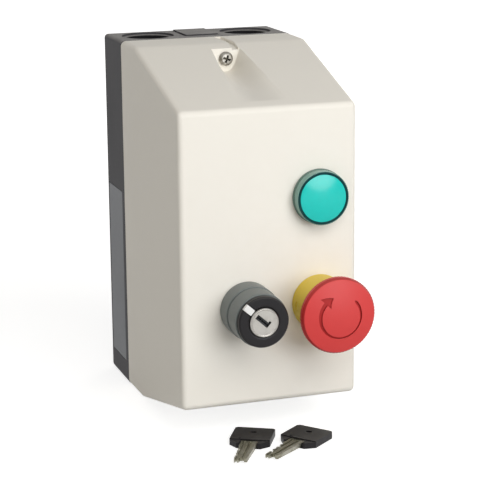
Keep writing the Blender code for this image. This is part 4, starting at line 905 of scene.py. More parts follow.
def add_housing():
    tray = block(2 * HALF_WIDTH, 0, BASE_DEPTH, BOTTOM, TOP)
    housing = as_object("housing_tray", round_shell(
        tray, BASE_DEPTH, BASE_EDGE_RADIUS, BASE_EDGE_STEPS))
    ledge = BASE_DEPTH - BASE_RIM_DEPTH
    hollows = [
        block(2 * (HALF_WIDTH - inset), back, front, inset - TOP, TOP - inset)
        for inset, back, front in (
            (BASE_WALL, BASE_WALL, ledge),
            (BASE_RIM_WIDTH, ledge - OVERRUN, BASE_DEPTH + OVERRUN))]
    work(housing, "DIFFERENCE", hollows)
    entries = [entry_forms(side, x) for side in (1, -1) for x in (-ENTRY_X, ENTRY_X)]
    fixings = [middle(f"contactor_fixing_{index}") for index in (1, 2)]
    relay = middle("overload_housing")
    root = BASE_WALL / 2
    pad_front = back_of("contactor_base") - GAP
    bosses = [boss for boss, well in entries]
    bosses += by_screws(BOSS_RADIUS, root, BASE_DEPTH)
    bosses += [
        moved(rod(FIXING_PAD_RADIUS, root, pad_front), x=place.x, z=place.z) for place in fixings]
    bosses.append(block(
        RELAY_PAD_WIDTH, root, pad_front, relay.z - RELAY_PAD_HALF_HEIGHT,
        relay.z + RELAY_PAD_HALF_HEIGHT))
    bosses.append(block(PAD_WIDTH, PAD_BACK, PAD_FRONT, TOP - root, TOP + PAD_HEIGHT))
    work(housing, "UNION", bosses)
    near, far = GASKET_GROOVE
    cuts = [well for boss, well in entries] + pad_grooves()
    cuts.append(frame_ring(
        (HALF_WIDTH - near, TOP - near), (HALF_WIDTH - far, TOP - far),
        BASE_DEPTH - GASKET_GROOVE_DEPTH, BASE_DEPTH + OVERRUN))
    cuts += by_screws(COVER_SCREW_HOLE, back_of("cover_screw_top") - GAP, BASE_DEPTH + OVERRUN)
    cuts += [
        wall_hole(x, z) for z in (WALL_HOLE_Z, -WALL_HOLE_Z) for x in (-WALL_HOLE_X, WALL_HOLE_X)]
    screw_end = back_of("contactor_fixing_1") - GAP
    cuts += [
        moved(rod(FIXING_HOLE, screw_end, pad_front + OVERRUN), x=place.x, z=place.z)
        for place in fixings]
    low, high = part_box("side_label")
    cuts.append(block(
        2 * LABEL_RECESS, -high.y - GAP, -low.y + GAP, low.z - GAP, high.z + GAP, -HALF_WIDTH))
    work(housing, "DIFFERENCE", cuts)
    soften(housing, SOFT_EDGE)
    add_piece(housing, GRAPHITE, "enclosure", ["rear_housing"])
    # Paints the insides of the entry wells near-black as painted shade
    recoat(housing, PAINTED_WELL_SHADE, in_well)


def add_label():
    low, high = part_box("side_label")
    label = as_object("blank_side_label", block(
        high.x - low.x, -high.y, -low.y, low.z, high.z, (low.x + high.x) / 2, LABEL_EDGE))
    add_piece(label, LABEL, "enclosure", ["side_label"])


def add_gasket():
    low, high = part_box("cover_gasket")
    inner = (high.x - GASKET_WIDTH, high.z - GASKET_WIDTH)
    gasket = as_object("rim_gasket", frame_ring((high.x, high.z), inner, -high.y, -low.y))
    soften(gasket, GASKET_ROUND, 3)
    add_piece(gasket, RUBBER, "enclosure", ["cover_gasket"])


# Screws, in shares of a head's radius, a head's height and a shank's radius

CROWN_RADIUS = 0.7
CROWN_DROP = 0.06
SHOULDER_DROP = 0.55
SHOULDER_ROUND = 0.3
HEAD_SEAT_ROUND = 0.1
THREAD_PITCH = 0.5
THREAD_ROOT = 0.86
TIP_RADIUS = 0.5
CROSS_REACH = 0.62
CROSS_HALF_WIDTH = 0.16
CROSS_DEPTH = 0.6
CROSS_FLOOR_LENGTH = 0.55
CROSS_FLOOR_WIDTH = 0.7
CROSS_LIP = 0.12
CROSS_TURN = math.radians(20)

# Terminal clamp screws, in metres
CLAMP_SCREW_RADIUS = 0.0034
CLAMP_SCREW_HEAD = 0.0022
CLAMP_SCREW_SHANK = 0.0012
CLAMP_SCREW_INSET = 0.0065
CLAMP_SCREW_PROUD = 0.0028
CLAMP_SCREW_LIFT = 0.0002


def add_screw(name, radius, head, face, shank, tip, place, body, stands_for=()):
    """A pan-headed screw along Y with a cross recess and fine threads, set about its own axis."""
    seat = face - head
    pitch = shank * THREAD_PITCH
    root = shank * THREAD_ROOT
    corners = [
        (0, face, 0), (radius * CROWN_RADIUS, face - head * CROWN_DROP, 0),
        (radius, face - head * SHOULDER_DROP, head * SHOULDER_ROUND),
        (radius, seat, head * HEAD_SEAT_ROUND), (shank, seat, 0)]
    depth = seat - pitch
    while depth - pitch > tip:
        corners += [(shank, depth, 0), (root, depth - pitch / 2, 0)]
        depth -= pitch
    corners += [(root, tip + pitch / 2, 0), (shank * TIP_RADIUS, tip, 0), (0, tip, 0)]
    made = as_object(name, spun(corners, SMALL_ROUND), place)
    arm = radius * CROSS_REACH
    slim = radius * CROSS_HALF_WIDTH
    sunk = face - head * CROSS_DEPTH
    stations = (
        (arm * CROSS_FLOOR_LENGTH, slim * CROSS_FLOOR_WIDTH, sunk), (arm, slim, face + OVERRUN / 4))
    crosses = []
    for turn in (0, math.pi / 2):
        bm = loft([
            [(x, -depth, z) for x, z in rectangle(-long, long, -wide, wide)]
            for long, wide, depth in stations])
        crosses.append(turned_about_y(bm, turn + CROSS_TURN))
    work(made, "DIFFERENCE", crosses)
    add_piece(made, ZINC, body, stands_for)
    # Colours the cross recess dark as painted shade
    recoat(made, PAINTED_RECESS_SHADE, lambda spot: (
        sunk - GAP < -spot.y < face - head * CROSS_LIP and math.hypot(spot.x, spot.z) < arm))


def add_screws():
    for name, node, head, shank, body in (
        ("top_cover_screw", "cover_screw_top", COVER_SCREW_HEAD, COVER_SCREW_SHANK, "screw_top"),
        ("bottom_cover_screw", "cover_screw_bottom", COVER_SCREW_HEAD, COVER_SCREW_SHANK,
         "screw_bottom"),
        ("contactor_screw_1", "contactor_fixing_1", FIXING_HEAD, FIXING_SHANK, "enclosure"),
        ("contactor_screw_2", "contactor_fixing_2", FIXING_HEAD, FIXING_SHANK, "enclosure"),
    ):
        add_screw(name, radius_of(node), head, front_of(node), shank, back_of(node),
                  on_axis(node), body, [node])


def add_terminal_screws():
    for pole in (1, 2, 3):
        for end in ("line", "load"):
            low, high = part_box(f"{end}_terminal_{pole}")
            z = high.z - CLAMP_SCREW_INSET if end == "line" else low.z + CLAMP_SCREW_INSET
            add_screw(
                f"{end}_clamp_screw_{pole}", CLAMP_SCREW_RADIUS, CLAMP_SCREW_HEAD,
                -low.y + CLAMP_SCREW_PROUD, CLAMP_SCREW_SHANK, -low.y + CLAMP_SCREW_LIFT,
                ((low.x + high.x) / 2, 0, z), "enclosure")


# Pilot light

PILOT_FLANGE = 0.0017
PILOT_BORE = 0.008
LENS_RIM_SET_BACK = 0.0018
LENS_WALL = 0.0022
LENS_WEB_DEPTH = 0.0026
LENS_SPIGOT_RADIUS = 0.0077
LENS_SPIGOT_BORE = 0.0070
LENS_SPIGOT_LENGTH = 0.004
LENS_STEPS = 144
LENS_RIB_DEPTH = 0.00012
RING_OUTER_INSET = 0.0004
RING_INNER_INSET = 0.0017
RING_SEAT = 0.0013
RING_PROUD = 0.0002
DOME_RISE = 0.0017
DOME_SHARES = (0.0, 0.15, 0.3, 0.45, 0.6, 0.72, 0.83, 0.92, 1.0)


def add_pilot():
    here = on_axis("pilot_bezel")
    seat = back_of("pilot_bezel")
    flange = radius_of("pilot_bezel")
    lens_back = PANEL_SEAT + GAP + PILOT_FLANGE
    bezel_front = lens_back - GAP
    bezel = as_object("pilot_collar_ring", spun((
        (flange, bezel_front, EASED_EDGE), (flange, PANEL_SEAT, EASED_EDGE),
        (PANEL_NECK_RADIUS, PANEL_SEAT, 0), (PANEL_NECK_RADIUS, seat, EASED_EDGE),
        (PILOT_BORE, seat, SOFT_EDGE), (PILOT_BORE, bezel_front, SOFT_EDGE)), closed=True), here)
    # The flange's darker green is painted shade at the base of the lens
    add_piece(bezel, SHADED_GREEN_FLANGE, "cover", ["pilot_bezel"])
    lens = radius_of("pilot_lens")
    rim = front_of("pilot_lens") - LENS_RIM_SET_BACK
    web = rim - LENS_WEB_DEPTH
    spigot_back = lens_back - LENS_SPIGOT_LENGTH
    ring_seat = rim - RING_SEAT
    ring_outer = lens - RING_OUTER_INSET
    ring_inner = lens - RING_INNER_INSET
    ribbed = notch_rim(spun((
        (lens, lens_back, SOFT_EDGE), (lens, rim, SOFT_EDGE), (ring_outer, rim, 0),
        (ring_outer, ring_seat, 0), (LENS_SPIGOT_RADIUS, ring_seat, 0),
        (LENS_SPIGOT_RADIUS, spigot_back, SOFT_EDGE), (LENS_SPIGOT_BORE, spigot_back, SOFT_EDGE),
        (LENS_SPIGOT_BORE, web, 0), (lens - LENS_WALL, web, 0),
        (lens - LENS_WALL, lens_back, SOFT_EDGE)), LENS_STEPS, closed=True),
        LENS_STEPS, 2, 1, LENS_RIB_DEPTH, lambda reach, depth: reach > ring_outer + GAP / 2)
    skirt = as_object("pilot_lens_skirt", ribbed, here)
    add_piece(skirt, GREEN_SKIRT, "cover", ["pilot_lens"])
    ring_front = rim + RING_PROUD
    ring_back = ring_seat + SLIP
    ring = as_object("pilot_lens_rim", spun((
        (ring_outer - SLIP, ring_front, SOFT_EDGE), (ring_outer - SLIP, ring_back, 0),
        (ring_inner, ring_back, 0), (ring_inner, ring_front, SOFT_EDGE)), closed=True), here)
    add_piece(ring, GREEN_RING, "cover")
    edge = ring_inner - SLIP
    dome_back = ring_back + SLIP
    dome = [
        (edge * share, rim + SLIP + DOME_RISE * (1 - share ** 2), 0) for share in DOME_SHARES]
    cap = as_object("pilot_lens_dome", spun(
        [*dome, (edge, dome_back, HAIR_EDGE), (0, dome_back, 0)]), here)
    add_piece(cap, GREEN_LENS, "cover")


# Key selector

SELECTOR_RADIUS = 0.0140
SELECTOR_BORE = 0.0093
SELECTOR_GROOVE = (0.0107, 0.0114)
SELECTOR_GROOVE_RADIUS = 0.0134
DISC_SHAFT_RADIUS = 0.009
DISC_SHAFT_BORE = 0.004
DISC_FACE_INSET = 0.0007
DISC_FACE_DROP = 0.0008
DISC_LIP = 0.0012
DISC_LIP_DROP = 0.0002
POINTER_WIDTH = 0.0035
POINTER_DEPTH = 0.0020
POINTER_PROUD = 0.00012
POINTER_SLOT_WIDTH = 0.0040
POINTER_SLOT_DEPTH = 0.0023
LOCK_FACE_INSET = 0.0011
LOCK_FACE_SINK = 0.0003
LOCK_RIM = (0.0008, 0.0005)
LOCK_CHAMFER = 0.0006
KEYWAY_WIDTH = 0.0026
KEYWAY_LOW = -0.0027
KEYWAY_HIGH = 0.0056
KEYWAY_DEPTH = 0.018
KEYWAY_NOTCH_WIDTH = 0.0024
KEYWAY_NOTCH_X = 0.0012
KEYWAY_NOTCH_TOP = -0.0014
WARD_SET_BACK = 0.0016
WARD_LIFT = 0.0002
WARD_SLIT_WIDTH = 0.0007
WARD_SLIT_ENDS = (-0.0030, 0.0060)
WARD_SLIT_FLOOR = 0.004


def radial_form(width, inner, outer, back, front, angle, x=0.0, edge=0.0):
    """A block along a radius, at an angle clockwise from straight up."""
    return turned_about_y(block(width, back, front, inner, outer, x, edge), angle)


def add_key_switch():
    here = on_axis("key_bezel")
    outer = radius_of("key_bezel")
    front = front_of("key_bezel")
    back = back_of("key_bezel")
    groove_back, groove_front = (PANEL_SEAT + reach for reach in SELECTOR_GROOVE)
    bezel = as_object("selector_collar", spun((
        (SELECTOR_RADIUS, front, EASED_EDGE), (SELECTOR_RADIUS, groove_front, SOFT_EDGE),
        (SELECTOR_GROOVE_RADIUS, groove_front, 0), (SELECTOR_GROOVE_RADIUS, groove_back, 0),
        (outer, groove_back, ROUND_EDGE), (outer, PANEL_SEAT, SOFT_EDGE),
        (PANEL_NECK_RADIUS, PANEL_SEAT, 0), (PANEL_NECK_RADIUS, back, ROUND_EDGE),
        (SELECTOR_BORE, back, SOFT_EDGE), (SELECTOR_BORE, front, SOFT_EDGE)), closed=True), here)
    add_piece(bezel, COLLAR_GREY, "cover", ["key_bezel"])
    face = front_of("key_pointer")
    disc_back = front + GAP
    shaft_back = back_of("key_rotor")
    disc = radius_of("key_rotor")
    lock = radius_of("lock_cylinder")
    lock_back = back_of("lock_cylinder")
    socket_back = lock_back - GAP
    rotor = as_object("selector_disc", spun((
        (lock + GAP, face - DISC_LIP_DROP, FINE_EDGE), (lock + DISC_LIP, face, EASED_EDGE),
        (disc - DISC_FACE_INSET, face, EASED_EDGE), (disc, face - DISC_FACE_DROP, EASED_EDGE),
        (disc, disc_back, SOFT_EDGE), (DISC_SHAFT_RADIUS, disc_back, 0),
        (DISC_SHAFT_RADIUS, shaft_back, EASED_EDGE), (DISC_SHAFT_BORE, shaft_back, 0),
        (DISC_SHAFT_BORE, socket_back, 0), (lock + GAP, socket_back, 0)), closed=True), here)
    pointer_middle = middle("key_pointer")
    angle = math.atan2(pointer_middle.x - here[0], pointer_middle.z - here[2])
    work(rotor, "DIFFERENCE", [radial_form(
        POINTER_SLOT_WIDTH, lock, disc + OVERRUN, face - POINTER_SLOT_DEPTH, face + OVERRUN,
        angle)])
    add_piece(rotor, BLACK, "key_rotor", ["key_rotor"])
    pointer = as_object("selector_pointer", radial_form(
        POINTER_WIDTH, lock + GAP, disc, face - POINTER_DEPTH, face + POINTER_PROUD, angle,
        edge=SOFT_EDGE), here)
    add_piece(pointer, WHITE, "key_rotor", ["key_pointer"])
    add_lock(here, angle, lock, lock_back, front_of("lock_cylinder"))


def add_lock(here, angle, radius, back, face):
    """The lock barrel: a bright rim round a slightly sunk face, with the keyway through it."""
    sunk = face - LOCK_FACE_SINK
    rim_inner, rim_outer = (radius - inset for inset in LOCK_RIM)
    barrel = as_object("lock_barrel", spun((
        (0, sunk, 0), (radius - LOCK_FACE_INSET, sunk, FINE_EDGE), (rim_inner, face, HAIR_EDGE),
        (rim_outer, face, HAIR_EDGE), (radius, face - LOCK_CHAMFER, FINE_EDGE),
        (radius, back, SOFT_EDGE), (0, back, 0))), here)
    floor = face - KEYWAY_DEPTH
    over = face + OVERRUN
    work(barrel, "DIFFERENCE", [
        radial_form(KEYWAY_WIDTH, KEYWAY_LOW, KEYWAY_HIGH, floor, over, angle),
        radial_form(
            KEYWAY_NOTCH_WIDTH, KEYWAY_LOW, KEYWAY_NOTCH_TOP, floor, over, angle, KEYWAY_NOTCH_X)])
    add_piece(barrel, CHROME, "key_rotor", ["lock_cylinder"])
    wards = as_object("keyway_wards", radial_form(
        KEYWAY_WIDTH - SLIP, KEYWAY_LOW + SLIP, KEYWAY_HIGH - SLIP, floor + WARD_LIFT,
        face - WARD_SET_BACK, angle, edge=FINE_EDGE), here)
    work(wards, "DIFFERENCE", [radial_form(
        WARD_SLIT_WIDTH, *WARD_SLIT_ENDS, floor + WARD_SLIT_FLOOR, face, angle)])
    add_piece(wards, DARK, "key_rotor")


# Emergency stop

COLLAR_CHAMFER = 0.0012
COLLAR_BORE = 0.0083
COLLAR_NECK_BORE = 0.0058
COLLAR_NECK_FLOOR = 0.0025
COLLAR_MARK_TURNS = (math.radians(-88), math.radians(92))
COLLAR_MARK_SINK = 0.0008
COLLAR_MARKS = ((0.0012, 0.0050, 0.0068), (0.0046, 0.0054, 0.0064))
STEM_RADIUS = 0.008
STEM_SHANK_RADIUS = 0.0055
STEM_SPRING_SPACE = 0.0137
HEAD_RISE = 0.0035
HEAD_RIM_INSET = 0.0010
HEAD_RIM_LIFT = 0.0004
HEAD_RIM_DROP = 0.0012
HEAD_RIM_BACK = 0.0033
HEAD_BACK_RADIUS = 0.0178
HEAD_RECESS = 0.003
HEAD_SHARES = (0.0, 0.12, 0.24, 0.36, 0.48, 0.6, 0.72, 0.82, 0.9)
RIM_STEPS = 216
RIM_NOTCH_EVERY = 3
RIM_NOTCH_REACH = 0.0007
RIM_NOTCH_DEPTH = 0.00012
ARROW_RADIUS = 0.0110
ARROW_DEPTH = 0.0009
ARROW_WIDTHS = (
    (0.0, 0.0004), (0.012, 0.0012), (0.035, 0.0015), (0.3, 0.0008), (0.5, 0.0008), (1.0, 0.0022))
ARROW_START = math.radians(44)
ARROW_SWEEP = math.radians(269)
ARROW_STEPS = 84
ARROW_HEAD_SWEEP = math.radians(26.5)
ARROW_HEAD_WIDTH = 0.0073
ARROW_HEAD_SHARES = (0.0, 0.35, 0.7, 0.97)


def add_emergency_stop():
    here = on_axis("estop_bezel")
    collar = radius_of("estop_bezel")
    front = front_of("estop_bezel")
    back = back_of("estop_bezel")
    neck_floor = back + COLLAR_NECK_FLOOR
    bezel = as_object("stop_collar", spun((
        (collar - COLLAR_CHAMFER, front, EASED_EDGE), (collar, front - COLLAR_CHAMFER, FULL_EDGE),
        (collar, PANEL_SEAT, EASED_EDGE), (PANEL_NECK_RADIUS, PANEL_SEAT, 0),
        (PANEL_NECK_RADIUS, back, ROUND_EDGE), (COLLAR_NECK_BORE, back, SOFT_EDGE),
        (COLLAR_NECK_BORE, neck_floor, 0), (COLLAR_BORE, neck_floor, 0),
        (COLLAR_BORE, front, SOFT_EDGE)), closed=True), here)
    work(bezel, "DIFFERENCE", [
        radial_form(width, collar - COLLAR_MARK_SINK, collar + OVERRUN,
                    PANEL_SEAT + mark_back, PANEL_SEAT + mark_front, turn)
        for width, mark_back, mark_front in COLLAR_MARKS for turn in COLLAR_MARK_TURNS])
    add_piece(bezel, YELLOW, "cover", ["estop_bezel"])
    stem_back = back_of("estop_stem")
    stem_front = front_of("estop_stem")
    shoulder = neck_floor + STEM_SPRING_SPACE
    stem = as_object("stop_stem", spun((
        (0, stem_front, 0), (STEM_RADIUS, stem_front, EASED_EDGE),
        (STEM_RADIUS, shoulder, SOFT_EDGE), (STEM_SHANK_RADIUS, shoulder, FINE_EDGE),
        (STEM_SHANK_RADIUS, stem_back, EASED_EDGE), (0, stem_back, 0)), SMALL_ROUND), here)
    add_piece(stem, BLACK, "estop_stem", ["estop_stem"])
    add_stop_head(here, stem_front + GAP)


def add_stop_head(here, socket):
    head = radius_of("estop_head")
    skirt = back_of("estop_head")
    rim_front = front_of("estop_head") - HEAD_RISE
    inner = radius_of("estop_bezel") + 2 * GAP
    recess = skirt + HEAD_RECESS

    def dome_depth(radius):
        return rim_front + HEAD_RISE * (1 - (radius / head) ** 2)

    dome = [(head * share, dome_depth(head * share), 0) for share in HEAD_SHARES]
    notched = notch_rim(spun([
        *dome, (head - HEAD_RIM_INSET, rim_front + HEAD_RIM_LIFT, FULL_EDGE),
        (head, rim_front - HEAD_RIM_DROP, ROUND_EDGE), (head, skirt + HEAD_RIM_BACK, FULL_EDGE),
        (HEAD_BACK_RADIUS, skirt, FULL_EDGE), (inner, skirt, EASED_EDGE),
        (inner, recess, ROUND_EDGE), (COLLAR_BORE, recess, 0), (COLLAR_BORE, socket, 0),
        (0, socket, 0)], RIM_STEPS), RIM_STEPS, RIM_NOTCH_EVERY, 0, RIM_NOTCH_DEPTH,
        lambda reach, depth: reach > head - RIM_NOTCH_REACH and depth < rim_front)
    made = as_object("stop_head", notched, here)
    work(made, "DIFFERENCE", [arrow_cutter(dome_depth)])
    add_piece(made, RED, "estop_head", ["estop_head"])

    # Picks the faces of the arrow's recess for the painted shade
    def in_arrow(spot):
        sunk = dome_depth(math.hypot(spot.x, spot.z)) + spot.y
        return ARROW_DEPTH / 4 < sunk < 2 * ARROW_DEPTH

    # Paints the arrow's recess a darker red as painted shade
    recoat(made, PAINTED_SHADE_RED, in_arrow)


def between(table, share):
    """The value at a share, straight between the table's (share, value) rows."""
    for (low, first), (high, second) in zip(table, table[1:]):
        if share <= high:
            return part_way(first, second, (share - low) / (high - low))
    return table[-1][1]


def arrow_cutter(dome_depth):
    """The turn-to-release arrow: a ribbon that runs clockwise round the dome to a barbed head."""
    ribbon = [step / ARROW_STEPS for step in range(ARROW_STEPS + 1)]
    barb = ARROW_START + ARROW_SWEEP
    rails = [
        (ARROW_START + ARROW_SWEEP * share, between(ARROW_WIDTHS, share) / 2) for share in ribbon]
    rails += [
        (barb + ARROW_HEAD_SWEEP * share, ARROW_HEAD_WIDTH / 2 * (1 - share))
        for share in ARROW_HEAD_SHARES]
    loops = []
    for angle, half in rails:
        corners = rectangle(ARROW_RADIUS - half, ARROW_RADIUS + half, -ARROW_DEPTH, OVERRUN)
        loops.append([
            (radius * math.sin(angle), -dome_depth(radius) - lift, radius * math.cos(angle))
            for radius, lift in corners])
    return loft(loops)


# Loose keys

BOW_WIDTH = 0.0213
BOW_LENGTH = 0.0223
BOW_THICKNESS = 0.0036
BOW_FRONT_CORNER = 0.0044
BOW_BACK_CORNER = 0.0012
BOW_HOLE_PLACE = 0.0043
BOW_HOLE_RADIUS = 0.0011
BOW_HOLE_STRETCH = 1.7
BOW_STEP_PLACE = -0.0068
BOW_STEP_DROP = 0.0005
BOW_DIMPLE_RADIUS = 0.0007
BOW_DIMPLE_PLACE = 0.0012
BLADE_WIDTH = 0.0086
BLADE_TIP_WIDTH = 0.0064
BLADE_THICKNESS = 0.0020
BLADE_LOW = (BOW_THICKNESS - BLADE_THICKNESS) / 2
BLADE_HIGH = BLADE_LOW + BLADE_THICKNESS
BLADE_LENGTH = 0.0227
BLADE_TANG = 0.007
BLADE_SHOULDER = 0.002
BLADE_FORK_WIDTH = 0.0016
BLADE_FORK_DEPTH = 0.0026
BLADE_FORK_TAPER = 0.6
BLADE_SHORT_PRONG = 0.0012
BLADE_CUTS = ((0.0050, 0.0007), (0.0088, 0.0013), (0.0126, 0.0006), (0.0164, 0.0012))
BLADE_CUT_FORM = ((-0.0012, 0), (-0.0003, 1), (0.0008, 1), (0.0017, 0))
BLADE_GROOVES = ((-0.0026, -0.0016), (0.0004, 0.0018))
BLADE_GROOVE_DEPTH = 0.0006
BLADE_GROOVE_ROOT = 0.003
BLADE_EDGE = 0.00018
BOW_FRONT = -BOW_LENGTH / 2
BLADE_TIP = BOW_FRONT - BLADE_LENGTH
KEY_PLACES = {
    1: (-0.0141, -0.1528, math.radians(-29)), 2: (0.0122, -0.1610, math.radians(-51))}


def bow_outline():
    half = BOW_WIDTH / 2
    back = BOW_LENGTH / 2
    return (
        (-half + BOW_FRONT_CORNER, BOW_FRONT), (half - BOW_FRONT_CORNER, BOW_FRONT),
        (half, BOW_FRONT + BOW_FRONT_CORNER), (half, back - BOW_BACK_CORNER),
        (half - BOW_BACK_CORNER, back), (-half + BOW_BACK_CORNER, back),
        (-half, back - BOW_BACK_CORNER), (-half, BOW_FRONT + BOW_FRONT_CORNER))


def blade_outline():
    """The blade along -Y: tapered, with cuts of different depth on one edge and a forked tip."""
    def half(along):
        run = max(BOW_FRONT - along, 0) / BLADE_LENGTH
        return (BLADE_WIDTH - (BLADE_WIDTH - BLADE_TIP_WIDTH) * run) / 2

    wide = half(BOW_FRONT)
    tang = BOW_FRONT + BLADE_TANG
    outline = [(wide, tang), (-wide, tang), (-wide, BOW_FRONT - BLADE_SHOULDER)]
    for place, depth in BLADE_CUTS:
        for step, share in BLADE_CUT_FORM:
            along = BOW_FRONT - place - step
            outline.append((-half(along) + depth * share, along))
    short = BLADE_TIP + BLADE_SHORT_PRONG
    slot = BLADE_FORK_WIDTH / 2
    fork = BLADE_TIP + BLADE_FORK_DEPTH
    return outline + [
        (-half(BLADE_TIP), BLADE_TIP), (-slot, BLADE_TIP), (-slot * BLADE_FORK_TAPER, fork),
        (slot * BLADE_FORK_TAPER, fork), (slot, short), (half(short), short), (wide, BOW_FRONT)]


def bow_cuts():
    """The blade's slot, the ring hole, the step across the front and the dimple of a key's bow."""
    half = BLADE_WIDTH / 2 + GAP
    front = BOW_FRONT - OVERRUN
    slot = plate(
        rectangle(-half, half, front, BOW_FRONT + BLADE_TANG + GAP), BLADE_LOW - GAP,
        BLADE_HIGH + GAP)
    over = BOW_THICKNESS + OVERRUN
    ring_hole = upright(rod(BOW_HOLE_RADIUS, -OVERRUN, over))
    for vert in ring_hole.verts:
        vert.co.x *= BOW_HOLE_STRETCH
    wide = BOW_WIDTH / 2 + OVERRUN
    step = plate(
        rectangle(-wide, wide, front, BOW_STEP_PLACE), BOW_THICKNESS - BOW_STEP_DROP, over)
    dimple = upright(rod(BOW_DIMPLE_RADIUS, BOW_THICKNESS - 2 * BOW_STEP_DROP, over))
    return [
        slot, moved(ring_hole, y=BOW_HOLE_PLACE), step,
        moved(dimple, x=-BOW_WIDTH / 4, y=BOW_STEP_PLACE + BOW_DIMPLE_PLACE)]


def blade_grooves():
    front = BLADE_TIP - OVERRUN
    back = BOW_FRONT + BLADE_GROOVE_ROOT
    faces = (
        (BLADE_HIGH - BLADE_GROOVE_DEPTH, BLADE_HIGH + OVERRUN),
        (BLADE_LOW - OVERRUN, BLADE_LOW + BLADE_GROOVE_DEPTH))
    return [
        plate(rectangle(left, right, front, back), low, high)
        for low, high in faces for left, right in BLADE_GROOVES]


def add_key(index):
    x, y, turn = KEY_PLACES[index]
    for part, form, cuts, edge, segments, finish, slot in (
        ("bow", plate(bow_outline(), 0, BOW_THICKNESS), bow_cuts(), ROUND_EDGE, 3, BLACK,
         "black_plastic"),
        ("blade", plate(blade_outline(), BLADE_LOW, BLADE_HIGH), blade_grooves(), BLADE_EDGE, 2,
         KEY_STEEL, "zinc_steel"),
    ):
        made = as_object(f"spare_key_{index}_{part}", form, (x, y, BOTTOM))
        work(made, "DIFFERENCE", cuts)
        soften(made, edge, segments)
        made.rotation_euler.z = turn
        add_piece(made, finish, f"key_{index}", [f"key_{index}_{part}"])


# Contactor, overload relay and what is behind the panel

COIL_EDGE = 0.0008
WIRE_STEPS = 10
WIRE_FACETS = 4
WIRE_RADIUS = 0.0011
WIRE_LEAD_OUT = 0.004
WIRE_SWING = 0.0069
SPRING_STEPS = 24


def dress_node(node, finish, edge):
    """A carried-over CAD node with its finish and rounded edges."""
    made = nodes[node]
    soft_edges(made, edge)
    coat(made, finish)


def dress_works():
    for finish, edge, *works in (
        (DARK, ROUND_EDGE, "contactor_base", "overload_housing", "key_contact_block",
         "estop_contact_block"),
        (DARK, FULL_EDGE, "pilot_collar", "pilot_lamp", "key_collar", "estop_collar"),
        (PALE, ROUND_EDGE, "contactor_housing"), (BLACK, SOFT_EDGE, "contact_carrier"),
        (ZINC, SOFT_EDGE, "fixed_core", "armature"), (COPPER, COIL_EDGE, "coil"),
        (WHITE, FINE_EDGE, "current_dial"), (WHITE, SOFT_EDGE, "key_contact_plunger"),
        (BLUE, EASED_EDGE, "reset_button"), (RED, EASED_EDGE, "stop_button"),
        (RED, SOFT_EDGE, "estop_contact_plunger"),
    ):
        for node in works:
            dress_node(node, finish, edge)
    for pole in (1, 2, 3):
        for node, finish in (
            ("moving_contact", COPPER), ("link_pin", COPPER), ("bimetal", ZINC),
            ("line_terminal", BRASS), ("load_terminal", BRASS),
        ):
            dress_node(f"{node}_{pole}", finish, FINE_EDGE)


def smooth_route(points):
    """Sampled points of a smooth curve through the given ones."""
    padded = [points[0] * 2 - points[1]] + points + [points[-1] * 2 - points[-2]]
    route = []
    for before, start, end, after in zip(padded, padded[1:], padded[2:], padded[3:]):
        for step in range(WIRE_STEPS):
            t = step / WIRE_STEPS
            pull = (end - before) * t + (before * 2 - start * 5 + end * 4 - after) * t ** 2
            route.append(start + (pull + (start * 3 - before - end * 3 + after) * t ** 3) / 2)
    return route + [points[-1]]


def round_wire(name, points, radius, finish, body, node):
    """A round wire along points, as a mesh that stands for a CAD node."""
    curve = bpy.data.curves.new(name, "CURVE")
    curve.dimensions = "3D"
    curve.bevel_depth = radius
    curve.bevel_resolution = WIRE_FACETS
    curve.use_fill_caps = True
    spline = curve.splines.new("POLY")
    spline.points.add(len(points) - 1)
    for place, point in zip(spline.points, points):
        place.co = (*point, 1)
    guide = linked(f"{name}.guide", curve)
    mesh = mesh_as_shown(guide)
    bpy.data.objects.remove(guide, do_unlink=True)
    made = linked(name, mesh)
    add_piece(made, finish, body, [node])
    return made


def helix(node, wire, turns):
    """Points of a coil spring that fills a CAD spring's box."""
    low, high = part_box(node)
    centre = (low + high) / 2
    radius = (high.x - low.x) / 2 - wire
    count = turns * SPRING_STEPS
    points = []
    for index in range(count + 1):
        angle = math.tau * index / SPRING_STEPS
        y = part_way(high.y - wire, low.y + wire, index / count)
        points.append((
            centre.x + radius * math.cos(angle), y, centre.z + radius * math.sin(angle)))
    return points


def add_springs():
    for node, name, wire, turns, body, joint, keep in (
        ("return_spring", "armature_spring", 0.0006, 3, "enclosure", "contactor_pull_in", 0.45),
        ("estop_spring", "stop_spring", 0.0005, 4, "cover", "estop_push", 0.6),
    ):
        spring = round_wire(name, helix(node, wire, turns), wire, ZINC, body, node)
        low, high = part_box(node)
        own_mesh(spring)


def add_wire(name, node, start, way_out, bow, way_in, end, finish, body):
    """A wire that leaves and enters straight, and bows through a point between."""
    start, bow, end = Vector(start), Vector(bow), Vector(end)
    first = start + Vector(way_out) * WIRE_LEAD_OUT
    last = end + Vector(way_in) * WIRE_LEAD_OUT
    route = smooth_route([start, first, bow, last, end])
    round_wire(name, route, WIRE_RADIUS, finish, body, node)


